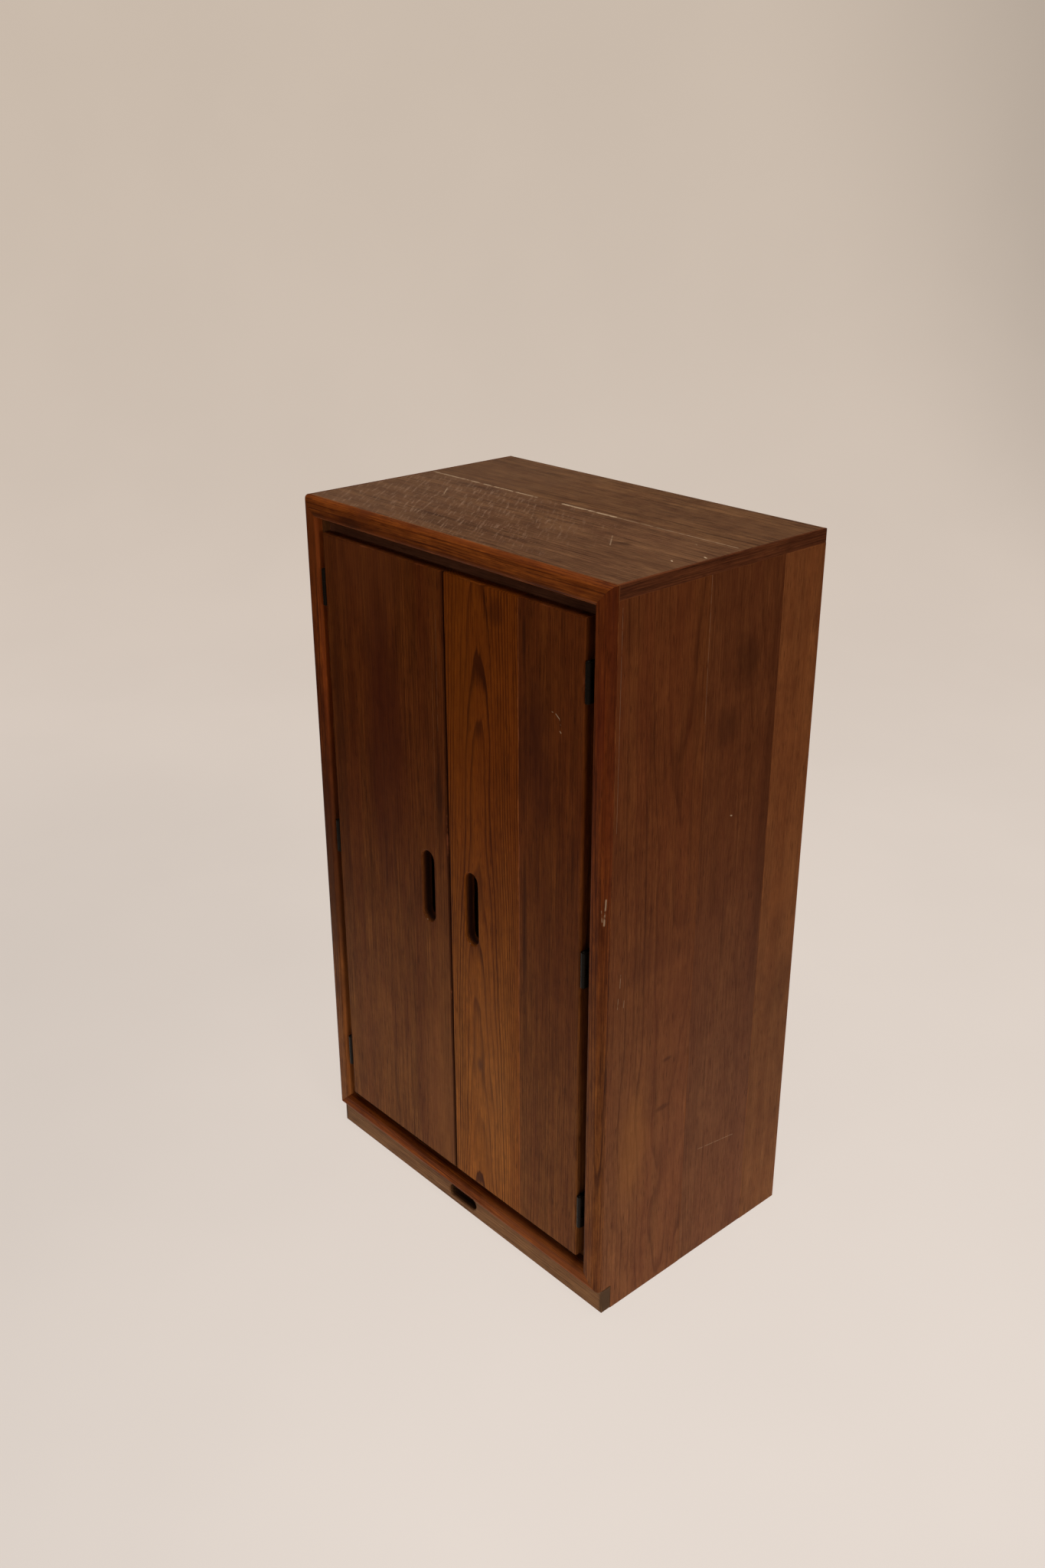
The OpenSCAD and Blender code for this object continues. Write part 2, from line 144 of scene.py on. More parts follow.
def add_camera():
    """Looks down on the front from the right."""
    data = bpy.data.cameras.new("view")
    data.lens = LENS_MM
    data.sensor_width = 36.0
    data.clip_end = 60.0
    camera = bpy.data.objects.new("view", data)
    turn = Matrix.Rotation(VIEW_TURN, 4, "Z") @ Matrix.Rotation(math.pi / 2 - VIEW_DOWN, 4, "X")
    camera.matrix_world = Matrix.Translation(CAMERA_PLACE) @ turn @ Matrix.Rotation(VIEW_ROLL, 4, "Z")
    bpy.context.scene.collection.objects.link(camera)
    bpy.context.scene.camera = camera


add_camera()


def linear(r, g, b):
    """A colour mixed on the 0 to 255 scale, as the shaders want it."""
    def one(c):
        """One of its three parts."""
        c = c / 255
        return c / 12.92 if c <= 0.04045 else ((c + 0.055) / 1.055) ** 2.4
    return (one(r), one(g), one(b), 1.0)


def link_mesh(name, mesh):
    """Puts a new piece with this mesh into the scene."""
    piece = bpy.data.objects.new(name, mesh)
    bpy.context.scene.collection.objects.link(piece)
    return piece


def add_sweep():
    """A pale floor that curves up into a wall behind the armoire."""
    wall, bend, half, rise, steps = 4.2, 1.6, 9.0, 6.0, 24
    line = [(-half, 0.0), (wall - bend, 0.0)]
    for i in range(1, steps + 1):
        a = math.pi / 2 * i / steps
        line.append((wall - bend + bend * math.sin(a), bend - bend * math.cos(a)))
    line.append((wall, rise))
    bm = bmesh.new()
    rows = [[bm.verts.new((x, d, z)) for x in (-half, half)] for d, z in line]
    for low, high in zip(rows, rows[1:]):
        bm.faces.new((low[0], low[1], high[1], high[0]))
    bmesh.ops.rotate(bm, verts=bm.verts, cent=(0, 0, 0), matrix=Matrix.Rotation(VIEW_TURN, 3, "Z"))
    mesh = bpy.data.meshes.new("sweep")
    bm.to_mesh(mesh)
    bm.free()
    for face in mesh.polygons:
        face.use_smooth = True
    floor = link_mesh("sweep", mesh)
    return floor


def add_softbox(name, place, aim, side, watts):
    """A square soft light."""
    data = bpy.data.lights.new(name, "AREA")
    data.shape = "SQUARE"
    data.size = side
    data.energy = watts
    data.color = WARM_WHITE
    light = bpy.data.objects.new(name, data)
    light.location = place
    light.rotation_euler = (Vector(aim) - Vector(place)).to_track_quat("-Z", "Y").to_euler()
    bpy.context.scene.collection.objects.link(light)


def add_world():
    """Dim room light, with a pale backdrop where the camera looks past the sweep."""
    world = bpy.data.worlds.new("studio")
    world.use_nodes = True
    tree = world.node_tree
    tree.nodes.clear()
    room = node(tree, "ShaderNodeBackground", {"Color": (1.0, 0.95, 0.9, 1), "Strength": ROOM_LIGHT})
    pale = node(tree, "ShaderNodeBackground", {"Color": linear(*PAST_SWEEP), "Strength": 1.0})
    path = node(tree, "ShaderNodeLightPath")
    mix = node(tree, "ShaderNodeMixShader", {0: path.outputs["Is Camera Ray"], 1: room, 2: pale})
    node(tree, "ShaderNodeOutputWorld", {"Surface": mix})
    bpy.context.scene.world = world


# ---- Node helpers --------------------------------------------------------------------------------

def node(tree, kind, inputs=None, **settings):
    """Adds a node, gives it its settings, and links or sets each input."""
    made = tree.nodes.new(kind)
    for key, value in settings.items():
        setattr(made, key, value)
    for key, value in (inputs or {}).items():
        socket = made.inputs[key]
        if isinstance(value, bpy.types.Node):
            value = value.outputs[0]
        if isinstance(value, bpy.types.NodeSocket):
            tree.links.new(value, socket)
        else:
            socket.default_value = value
    return made


def calc(tree, operation, *values, clamp=False):
    """Plain arithmetic on numbers."""
    made = node(tree, "ShaderNodeMath", dict(enumerate(values)), operation=operation, use_clamp=clamp)
    return made.outputs[0]


def vcalc(tree, operation, *values):
    """Arithmetic on vectors. A length or a product comes back as a number."""
    made = node(tree, "ShaderNodeVectorMath", dict(enumerate(values)), operation=operation)
    return made.outputs["Value" if operation in ("LENGTH", "DOT_PRODUCT") else "Vector"]


def vscale(tree, vector, share):
    """A vector made longer or shorter."""
    made = node(tree, "ShaderNodeVectorMath", {0: vector, "Scale": share}, operation="SCALE")
    return made.outputs["Vector"]


def blend_colour(tree, share, a, b, mode="MIX"):
    """Goes from colour a at share 0 to colour b at share 1."""
    made = node(
        tree, "ShaderNodeMix", {0: share, 6: a, 7: b}, data_type="RGBA", blend_type=mode, clamp_factor=True
    )
    return made.outputs[2]


def noise(tree, vector, scale, detail=3.0, roughness=0.55):
    """One cloud value between 0 and 1."""
    inputs = {"Vector": vector, "Scale": scale, "Detail": detail, "Roughness": roughness}
    return node(tree, "ShaderNodeTexNoise", inputs).outputs["Fac"]


def shaken(tree, vector, scale):
    """Three clouds at once, each centred on 0, to push a place about."""
    clouds = node(tree, "ShaderNodeTexNoise", {"Vector": vector, "Scale": scale, "Detail": 2.0})
    return vcalc(tree, "SUBTRACT", clouds.outputs["Color"], (0.5, 0.5, 0.5))


def ramp(tree, value, low, high, to_low=0.0, to_high=1.0, smooth=True):
    """Turns low..high of a value into to_low..to_high, and holds it at the ends."""
    made = node(
        tree, "ShaderNodeMapRange",
        {"Value": value, "From Min": low, "From Max": high, "To Min": to_low, "To Max": to_high},
        interpolation_type="SMOOTHSTEP" if smooth else "LINEAR",
    )
    return made.outputs["Result"]


def new_group(name, inputs, outputs):
    """A shader node group. Each input is (name, type, value), and each output (name, type)."""
    tree = bpy.data.node_groups.new(name, "ShaderNodeTree")
    for label, kind, value in inputs:
        socket = tree.interface.new_socket(label, in_out="INPUT", socket_type="NodeSocket" + kind)
        if value is not None:
            socket.default_value = value
    for label, kind in outputs:
        tree.interface.new_socket(label, in_out="OUTPUT", socket_type="NodeSocket" + kind)
    return tree, node(tree, "NodeGroupInput").outputs, node(tree, "NodeGroupOutput").inputs


# ---- Effects that several finishes share ---------------------------------------------------------

def timber_group():
    """Solid timber with its grain along Z: rings round a leaning heart, fibre streaks and open pores."""
    tree, given, out = new_group(
        "timber",
        [
            ("Vector", "Vector", None), ("Heart", "Vector", (0.05, 0.03, 0.3)),
            ("Lean", "Vector", (0.0, 0.02, 0.0)), ("Ring Width", "Float", 0.006), ("Waver", "Float", 0.01),
            ("Seed", "Float", 0.0), ("Ring Strength", "Float", 0.6), ("Fibre Strength", "Float", 0.5),
            ("Tone Strength", "Float", 0.5), ("Mottle", "Float", 0.5),
            ("Light", "Color", (0.2, 0.1, 0.05, 1)), ("Dark", "Color", (0.05, 0.02, 0.01, 1)),
            ("Tint", "Color", (0.15, 0.05, 0.02, 1)),
        ],
        [("Color", "Color"), ("Height", "Float")],
    )
    shift = node(tree, "ShaderNodeCombineXYZ", {"X": given["Seed"], "Y": given["Seed"], "Z": given["Seed"]})
    place = vcalc(tree, "ADD", given["Vector"], shift.outputs[0])
    # Slow bends of the trunk, and a quicker wobble of each ring
    slow = shaken(tree, vcalc(tree, "MULTIPLY", place, (9.0, 9.0, 2.2)), 1.0)
    quick = shaken(tree, vcalc(tree, "MULTIPLY", place, (60.0, 60.0, 9.0)), 1.0)
    bend = vscale(tree, slow, given["Waver"])
    wobble = vscale(tree, quick, calc(tree, "MULTIPLY", given["Waver"], 0.12))
    moved = vcalc(tree, "ADD", vcalc(tree, "ADD", given["Vector"], bend), wobble)
    away = node(tree, "ShaderNodeSeparateXYZ", {0: vcalc(tree, "SUBTRACT", moved, given["Heart"])})
    lean = node(tree, "ShaderNodeSeparateXYZ", {0: given["Lean"]})
    across, through = (
        calc(tree, "SUBTRACT", away.outputs[i], calc(tree, "MULTIPLY", lean.outputs[i], away.outputs[2]))
        for i in (0, 1)
    )
    deep = calc(tree, "MULTIPLY", through, through)
    squares = calc(tree, "ADD", calc(tree, "MULTIPLY", across, across), deep)
    count = calc(tree, "DIVIDE", calc(tree, "SQRT", squares), given["Ring Width"])
    saw = calc(tree, "FRACT", count)
    each = node(
        tree, "ShaderNodeTexWhiteNoise", {"W": calc(tree, "FLOOR", count)}, noise_dimensions="1D"
    ).outputs["Value"]
    rise = ramp(tree, saw, 0.35, 0.9)
    fall = ramp(tree, saw, 0.9, 1.0, 1.0, 0.0)
    late = calc(tree, "MULTIPLY", calc(tree, "MULTIPLY", rise, rise), fall)
    ring = calc(tree, "MULTIPLY", late, calc(tree, "MULTIPLY_ADD", each, 0.8, 0.2))
    # Fibres run with the grain; pores are short dark dashes, thickest in the early wood
    fibre = noise(tree, vcalc(tree, "MULTIPLY", place, (420.0, 420.0, 7.0)), 1.0, 4.0, 0.65)
    streak = noise(tree, vcalc(tree, "MULTIPLY", place, (75.0, 75.0, 1.4)), 1.0, 3.0, 0.6)
    dash = noise(tree, vcalc(tree, "MULTIPLY", place, (900.0, 900.0, 38.0)), 1.0, 1.0, 0.5)
    early = calc(tree, "SUBTRACT", 1.0, calc(tree, "MULTIPLY", late, 0.6))
    pore = calc(tree, "MULTIPLY", ramp(tree, dash, 0.56, 0.68), early)
    band = noise(tree, vcalc(tree, "MULTIPLY", place, (26.0, 26.0, 1.1)), 1.0, 3.0, 0.6)
    cloud = noise(tree, vcalc(tree, "MULTIPLY", place, (9.0, 9.0, 4.0)), 1.0, 3.0, 0.6)
    tone = calc(tree, "ADD", calc(tree, "MULTIPLY", band, 0.65), calc(tree, "MULTIPLY", cloud, 0.35))
    strands = calc(tree, "MULTIPLY_ADD", streak, 0.6, calc(tree, "MULTIPLY", fibre, 1.4))
    # Colour: base between light and dark by rings and fibres, then a slow tint, then the pores
    depth = calc(
        tree, "ADD",
        calc(tree, "MULTIPLY", ring, given["Ring Strength"]),
        calc(tree, "MULTIPLY", calc(tree, "SUBTRACT", strands, 1.0), given["Fibre Strength"]),
    )
    depth = calc(tree, "ADD", depth, 0.3, clamp=True)
    body = blend_colour(tree, depth, given["Light"], given["Dark"])
    slow_tone = calc(tree, "MULTIPLY", ramp(tree, tone, 0.4, 0.62), given["Tone Strength"])
    body = blend_colour(tree, slow_tone, body, given["Tint"])
    soot = blend_colour(tree, 0.5, given["Dark"], (0, 0, 0, 1))
    body = blend_colour(tree, calc(tree, "MULTIPLY", pore, 0.55), body, soot)
    # Oil that has soaked in unevenly: lighter and darker clouds, a little greener where it is light
    mottle = noise(tree, vcalc(tree, "MULTIPLY", place, (38.0, 38.0, 17.0)), 1.0, 4.0, 0.7)
    clouds = calc(tree, "SUBTRACT", cloud, 0.5)
    patch = calc(tree, "MULTIPLY_ADD", calc(tree, "SUBTRACT", mottle, 0.5), 2.0, clouds)
    swing = calc(tree, "MULTIPLY", patch, given["Mottle"])
    gains = {i: calc(tree, "MULTIPLY_ADD", swing, amount, 1.0) for i, amount in enumerate((0.9, 1.1, 1.0))}
    body = vcalc(tree, "MULTIPLY", body, node(tree, "ShaderNodeCombineXYZ", gains).outputs[0])
    tree.links.new(body, out["Color"])
    height = calc(tree, "SUBTRACT", calc(tree, "MULTIPLY", fibre, 0.35), calc(tree, "MULTIPLY", pore, 0.8))
    tree.links.new(height, out["Height"])
    return tree


def edge_wear_group():
    """Marks the arrises of a square board, where it is rubbed and where a painted highlight goes: close to
    two of its faces at once, in broken patches.
    """
    tree, given, out = new_group(
        "edge_wear",
        [
            ("Vector", "Vector", None), ("Low", "Vector", (0, 0, 0)), ("High", "Vector", (1, 1, 1)),
            ("Width", "Float", 0.003), ("Seed", "Float", 0.0),
        ],
        [("Mask", "Float")],
    )
    near = vcalc(
        tree, "MINIMUM", vcalc(tree, "SUBTRACT", given["Vector"], given["Low"]),
        vcalc(tree, "SUBTRACT", given["High"], given["Vector"]),
    )
    near = vcalc(tree, "MAXIMUM", near, (0, 0, 0))
    part = node(tree, "ShaderNodeSeparateXYZ", {0: near})
    a, b, c = (part.outputs[i] for i in range(3))
    least = calc(tree, "MINIMUM", calc(tree, "MINIMUM", a, b), c)
    most = calc(tree, "MAXIMUM", calc(tree, "MAXIMUM", a, b), c)
    total = vcalc(tree, "DOT_PRODUCT", near, (1, 1, 1))
    middle = calc(tree, "SUBTRACT", calc(tree, "SUBTRACT", total, least), most)
    patchy = noise(tree, vcalc(tree, "ADD", given["Vector"], given["Seed"]), 14.0, 4.0, 0.65)
    reach = calc(tree, "MULTIPLY", given["Width"], ramp(tree, patchy, 0.42, 0.75, 0.15, 1.6))
    share = calc(tree, "DIVIDE", calc(tree, "ADD", middle, least), reach)
    tree.links.new(ramp(tree, share, 0.4, 1.0, 1.0, 0.0), out["Mask"])
    return tree


def polish_group():
    """How unevenly the oil finish shines."""
    tree, given, out = new_group(
        "polish", [("Vector", "Vector", None), ("Even", "Float", 0.4), ("Swing", "Float", 0.12)],
        [("Roughness", "Float")],
    )
    cloud = noise(tree, given["Vector"], 5.0, 4.0, 0.6)
    fine = noise(tree, given["Vector"], 70.0, 3.0, 0.6)
    both = calc(tree, "ADD", calc(tree, "MULTIPLY", cloud, 0.7), calc(tree, "MULTIPLY", fine, 0.3))
    twice = calc(tree, "MULTIPLY", given["Swing"], 2.0)
    swing = calc(tree, "MULTIPLY", calc(tree, "SUBTRACT", both, 0.5), twice)
    tree.links.new(calc(tree, "ADD", given["Even"], swing, clamp=True), out["Roughness"])
    return tree


def scratch_group():
    """A thin mark along the straight line from A to B, broken up so that it doesn't look drawn."""
    tree, given, out = new_group(
        "scratch",
        [
            ("Vector", "Vector", None), ("A", "Vector", (0, 0, 0)), ("B", "Vector", (0, 0, 1)),
            ("Width", "Float", 0.0008),
        ],
        [("Mask", "Float")],
    )
    wobble = vcalc(tree, "MULTIPLY", shaken(tree, given["Vector"], 90.0), (1.2 * MM, 1.2 * MM, 1.2 * MM))
    place = vcalc(tree, "ADD", given["Vector"], wobble)
    run = vcalc(tree, "SUBTRACT", given["B"], given["A"])
    start = vcalc(tree, "SUBTRACT", place, given["A"])
    reach = vcalc(tree, "DOT_PRODUCT", start, run)
    share = calc(tree, "DIVIDE", reach, vcalc(tree, "DOT_PRODUCT", run, run), clamp=True)
    along = vscale(tree, run, share)
    gap = vcalc(tree, "LENGTH", vcalc(tree, "SUBTRACT", start, along))
    line = ramp(tree, calc(tree, "DIVIDE", gap, given["Width"]), 0.5, 1.0, 1.0, 0.0)
    broken = ramp(tree, noise(tree, given["Vector"], 70.0, 2.0), 0.32, 0.5)
    tree.links.new(calc(tree, "MULTIPLY", line, broken), out["Mask"])
    return tree


def smudge_group():
    """A soft spot with a ragged edge, as wide as Size along each axis."""
    tree, given, out = new_group(
        "smudge",
        [
            ("Vector", "Vector", None), ("Centre", "Vector", (0, 0, 0)),
            ("Size", "Vector", (0.05, 0.05, 0.05)), ("Ragged", "Float", 0.5),
        ],
        [("Mask", "Float")],
    )
    away = vcalc(tree, "DIVIDE", vcalc(tree, "SUBTRACT", given["Vector"], given["Centre"]), given["Size"])
    far = vcalc(tree, "LENGTH", away)
    grit = noise(tree, vcalc(tree, "MULTIPLY", given["Vector"], (1.0, 1.0, 0.35)), 25.0, 4.0, 0.65)
    amount = calc(tree, "MULTIPLY", given["Ragged"], 2.5)
    edge = calc(tree, "MULTIPLY_ADD", calc(tree, "SUBTRACT", grit, 0.5), amount, far)
    tree.links.new(ramp(tree, edge, 0.25, 1.0, 1.0, 0.0), out["Mask"])
    return tree


GROUPS = {
    "timber": timber_group(), "edge_wear": edge_wear_group(), "polish": polish_group(),
    "scratch": scratch_group(), "smudge": smudge_group(),
}


def place_group(tree, name, inputs):
    """Puts one of the shared effects into a material, and gives its outputs."""
    return node(tree, "ShaderNodeGroup", inputs, node_tree=GROUPS[name]).outputs


# ---- Finishes ------------------------------------------------------------------------------------

def new_material(name):
    """An empty material and its node tree."""
    material = bpy.data.materials.new(name)
    material.use_nodes = True
    material.node_tree.nodes.clear()
    return material, material.node_tree


def along_grain(tree, coordinates, grain):
    """Turns the piece's own coordinates so that the grain lies along Z."""
    if grain == "Z":
        return coordinates
    part = node(tree, "ShaderNodeSeparateXYZ", {0: coordinates})
    order = {"X": (1, 2, 0), "Y": (0, 2, 1)}[grain]
    turned = node(tree, "ShaderNodeCombineXYZ", {i: part.outputs[n] for i, n in enumerate(order)})
    return turned.outputs[0]


def spot(tree, own, centre, size, ragged):
    """How far each point is inside a soft spot."""
    where = {"Vector": own, "Centre": centre, "Size": size, "Ragged": ragged}
    return place_group(tree, "smudge", where)["Mask"]


def oiled_wood(name, box, light, dark, tint, grain="Z", heart=(0.5, 0.1, 0.0), lean=(0.01, 0.01, 0.0),
               ring=0.003, waver=0.012, seed=0.0, rings=0.6, fibres=0.5, tones=0.5, mottle=0.5, wear=0.002,
               worn=None, faded=NOT_FADED, shine=0.02, ripples=None, scratches=(), smudges=()):
    """Oiled solid wood. box is the piece's own (low, high).

    heart is where the rings centre, lean is how that line slopes, and waver is how far the rings bend.
    The foot light gain multiplies the colour at the foot: painted floor-bounce light above 1, painted shade
    below 1.
    The rub-and-highlight colour is that of rubbed edges, and also a painted highlight on the lit arrises of
    the doors and frame.
    The polish sheen is (which way the strokes run, their centre, the size of their patch, how strong they
    are): strokes of an old polish, their sheen painted in.
    """
    material, tree = new_material(name)
    own = node(tree, "ShaderNodeTexCoord").outputs["Object"]
    timber = place_group(tree, "timber", {
        "Vector": along_grain(tree, own, grain), "Heart": heart, "Lean": lean, "Ring Width": ring,
        "Waver": waver, "Seed": seed, "Ring Strength": rings, "Fibre Strength": fibres,
        "Tone Strength": tones, "Mottle": mottle, "Light": light, "Dark": dark, "Tint": tint,
    })
    polish = place_group(tree, "polish", {"Vector": own, "Even": 0.5, "Swing": 0.10})
    colour, roughness = timber["Color"], polish["Roughness"]
    # Soft spots: stains, and in places painted light and shade
    for centre, size, strength, stain, ragged in smudges:
        mask = spot(tree, own, centre, size, ragged)
        colour = blend_colour(tree, calc(tree, "MULTIPLY", mask, strength), colour, stain)
    if ripples:
        # Pale strokes all one way, left by an old polish, with their sheen painted in: their direction, then
        # where they are and how strong
        run, centre, size, strength = ripples
        across = (run[1], -run[0], 0.0)
        strokes = node(tree, "ShaderNodeCombineXYZ", {
            0: calc(tree, "MULTIPLY", vcalc(tree, "DOT_PRODUCT", own, run), 22.0),
            1: calc(tree, "MULTIPLY", vcalc(tree, "DOT_PRODUCT", own, across), 210.0),
        })
        mask = ramp(tree, noise(tree, strokes, 1.0, 3.0, 0.6), 0.5, 0.72)
        there = spot(tree, own, centre, size, 0.4)
        mask = calc(tree, "MULTIPLY", mask, calc(tree, "MULTIPLY", there, strength))
        colour = blend_colour(tree, mask, colour, linear(168, 136, 112))
    # Painted floor-bounce light: towards the foot the colour is multiplied by the foot gain, painted shade
    # where it is below 1
    if faded != NOT_FADED:
        height = node(tree, "ShaderNodeSeparateXYZ", {0: own}).outputs[2]
        low = ramp(tree, height, FADE_LOW, FADE_HIGH, 1.0, 0.0)
        gain = blend_colour(tree, low, (1, 1, 1, 1), (*faded, 1))
        colour = blend_colour(tree, 1.0, colour, gain, "MULTIPLY")
    # Paler rubbed arrises; on the doors and frame this is also a painted highlight along their lit edges
    mask = place_group(tree, "edge_wear", {
        "Vector": own, "Low": box[0], "High": box[1], "Width": wear, "Seed": seed,
    })["Mask"]
    colour = blend_colour(tree, calc(tree, "MULTIPLY", mask, 0.5), colour, worn or light)
    roughness = calc(tree, "ADD", roughness, calc(tree, "MULTIPLY", mask, 0.1), clamp=True)
    # Thin pale marks: scratched lines, and at the door slots painted glints
    for start, end, width, strength in scratches:
        mask = place_group(tree, "scratch", {"Vector": own, "A": start, "B": end, "Width": width})["Mask"]
        colour = blend_colour(tree, calc(tree, "MULTIPLY", mask, strength), colour, linear(190, 165, 135))
        roughness = calc(tree, "ADD", roughness, calc(tree, "MULTIPLY", mask, 0.3), clamp=True)
    relief = node(tree, "ShaderNodeBump", {
        "Strength": 0.15, "Distance": 0.4 * MM, "Height": timber["Height"],
    })
    shader = node(tree, "ShaderNodeBsdfPrincipled", {
        "Base Color": colour, "Roughness": roughness, "Normal": relief, "Specular IOR Level": shine,
    })
    node(tree, "ShaderNodeOutputMaterial", {"Surface": shader})
    return material


def metal(name, colour, tarnish, rough, bare=1.0, tarnished=1.0, shine=0.5):
    """Mottled metal. bare and tarnished are how metallic the clean and the tarnished patches are."""
    material, tree = new_material(name)
    own = node(tree, "ShaderNodeTexCoord").outputs["Object"]
    mottle = noise(tree, own, 450.0, 4.0, 0.65)
    fine = noise(tree, own, 2200.0, 2.0, 0.6)
    dull = ramp(tree, mottle, 0.38, 0.58)
    tint = blend_colour(tree, dull, colour, tarnish)
    duller = calc(tree, "MULTIPLY_ADD", dull, 0.12, rough)
    roughness = calc(tree, "MULTIPLY_ADD", fine, 0.25, duller, clamp=True)
    relief = node(tree, "ShaderNodeBump", {"Strength": 0.2, "Distance": 0.1 * MM, "Height": fine})
    metallic = bare if bare == tarnished else ramp(tree, dull, 0.0, 1.0, bare, tarnished)
    shader = node(tree, "ShaderNodeBsdfPrincipled", {
        "Base Color": tint, "Roughness": roughness, "Normal": relief, "Metallic": metallic,
        "Specular IOR Level": shine,
    })
    node(tree, "ShaderNodeOutputMaterial", {"Surface": shader})
    return material


def sweep_paper():
    """Matt paper. A little of its own glow evens it out where the camera looks straight at it."""
    material, tree = new_material("sweep_paper")
    own = node(tree, "ShaderNodeTexCoord").outputs["Object"]
    cloud = noise(tree, own, 1.2, 3.0)
    tint = blend_colour(tree, ramp(tree, cloud, 0.35, 0.65), linear(231, 219, 208), linear(227, 215, 204))
    paper = node(tree, "ShaderNodeBsdfPrincipled", {
        "Base Color": tint, "Roughness": 0.9, "Specular IOR Level": 0.1,
    })
    # Brightest on the floor in front, dimmer up the wall, at the top right and at the lower left
    away = vcalc(tree, "DOT_PRODUCT", own, (-math.sin(VIEW_TURN), math.cos(VIEW_TURN), 0.55))
    aside = vcalc(tree, "DOT_PRODUCT", own, (math.cos(VIEW_TURN), math.sin(VIEW_TURN), 0.0))
    to_bend, to_far = (ramp(tree, away, low, high, smooth=False) for low, high in ((-0.8, 3.2), (3.2, 5.3)))
    glow_tint = blend_colour(tree, to_bend, linear(*GLOW_NEAR), linear(*GLOW_BEND))
    glow_tint = blend_colour(tree, to_far, glow_tint, linear(*GLOW_FAR))
    top_right = ramp(tree, calc(tree, "MULTIPLY_ADD", away, 0.5, aside), 3.4, 5.2, 0.0, 0.26)
    close = ramp(tree, away, 0.5, 2.5, 1.0, 0.0)
    low_left = calc(tree, "MULTIPLY", ramp(tree, aside, -1.2, 0.0, 0.12, 0.0), close)
    dim = calc(tree, "ADD", top_right, low_left)
    dim = calc(tree, "ADD", dim, calc(tree, "MULTIPLY", ramp(tree, cloud, 0.3, 0.7), 0.02))
    glow_tint = blend_colour(tree, dim, glow_tint, (0, 0, 0, 1))
    # Far out the paper is as pale as what lies past its edges, so that they don't show
    edge = ramp(tree, vcalc(tree, "LENGTH", own), 5.2, 7.2)
    glow_tint = blend_colour(tree, edge, glow_tint, linear(*PAST_SWEEP))
    glow = node(tree, "ShaderNodeEmission", {"Color": glow_tint})
    seen = node(tree, "ShaderNodeLightPath").outputs["Is Camera Ray"]
    share = calc(tree, "MULTIPLY", seen, calc(tree, "MAXIMUM", edge, GLOW_SHARE))
    mix = node(tree, "ShaderNodeMixShader", {0: share, 1: paper, 2: glow})
    # The floor round the armoire glows for every ray but the camera's, painted light that sends more light
    # back up at it than the floor further off
    near = ramp(tree, vcalc(tree, "LENGTH", own), POOL_INNER, POOL_OUTER, 1.0, 0.0)
    unseen = calc(tree, "SUBTRACT", 1.0, seen)
    strength = calc(tree, "MULTIPLY", unseen, calc(tree, "MULTIPLY", near, POOL_GLOW))
    pool = node(tree, "ShaderNodeEmission", {"Color": (*WARM_WHITE, 1), "Strength": strength})
    both = node(tree, "ShaderNodeAddShader", {0: mix, 1: pool})
    node(tree, "ShaderNodeOutputMaterial", {"Surface": both})
    return material


# ---- Pieces --------------------------------------------------------------------------------------

def softened(name, radius, joints=()):
    """Stands for a CAD piece, with its arrises eased, but less so on a joint's plane (axis, place)."""
    source = NODES[name]
    bm = bmesh.new()
    bm.from_mesh(source.data)
    bmesh.ops.remove_doubles(bm, verts=bm.verts, dist=WELD)
    bmesh.ops.dissolve_limit(bm, angle_limit=FLAT, verts=bm.verts, edges=bm.edges)
    weight = bm.edges.layers.float.new("bevel_weight_edge")
    for edge in bm.edges:
        if len(edge.link_faces) != 2 or edge.calc_face_angle() < SHARP:
            continue
        ends = [v.co for v in edge.verts]
        at_joint = any(all(abs(co[axis] - place) < ON_PLANE for co in ends) for axis, place in joints)
        edge[weight] = EASE_JOINT / radius if at_joint else 1.0
    mesh = bpy.data.meshes.new(name + "_soft")
    bm.to_mesh(mesh)
    bm.free()
    mesh.polygons.foreach_set("use_smooth", [True] * len(mesh.polygons))
    piece = link_mesh(name + "_soft", mesh)
    bevel = piece.modifiers.new("ease", "BEVEL")
    bevel.limit_method = "WEIGHT"
    bevel.width = radius
    bevel.segments = 3
    flat = piece.modifiers.new("flat faces", "WEIGHTED_NORMAL")
    flat.mode = "FACE_AREA_WITH_ANGLE"
    flat.weight = 100
    made = bpy.data.meshes.new_from_object(piece.evaluated_get(bpy.context.evaluated_depsgraph_get()))
    piece.modifiers.clear()
    piece.data = made
    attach(piece, source["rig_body"])
    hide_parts(name)
    return piece


def finish_piece(piece, material):
    """Gives a new piece its one material."""
    piece.data.materials.clear()
    piece.data.materials.append(material)


def finish_node(name, material):
    """Gives a CAD piece that keeps its own mesh a new material."""
    source = NODES[name]
    if not source.material_slots:
        source.data.materials.append(None)
    for slot in source.material_slots:
        slot.link = "OBJECT"
        slot.material = material


# ---- Palettes ------------------------------------------------------------------------------------

def wood_look(light, dark, tint, **more):
    """The light, dark and slow tint of a timber, and whatever else is its own."""
    return dict(light=linear(*light), dark=linear(*dark), tint=linear(*tint), **more)


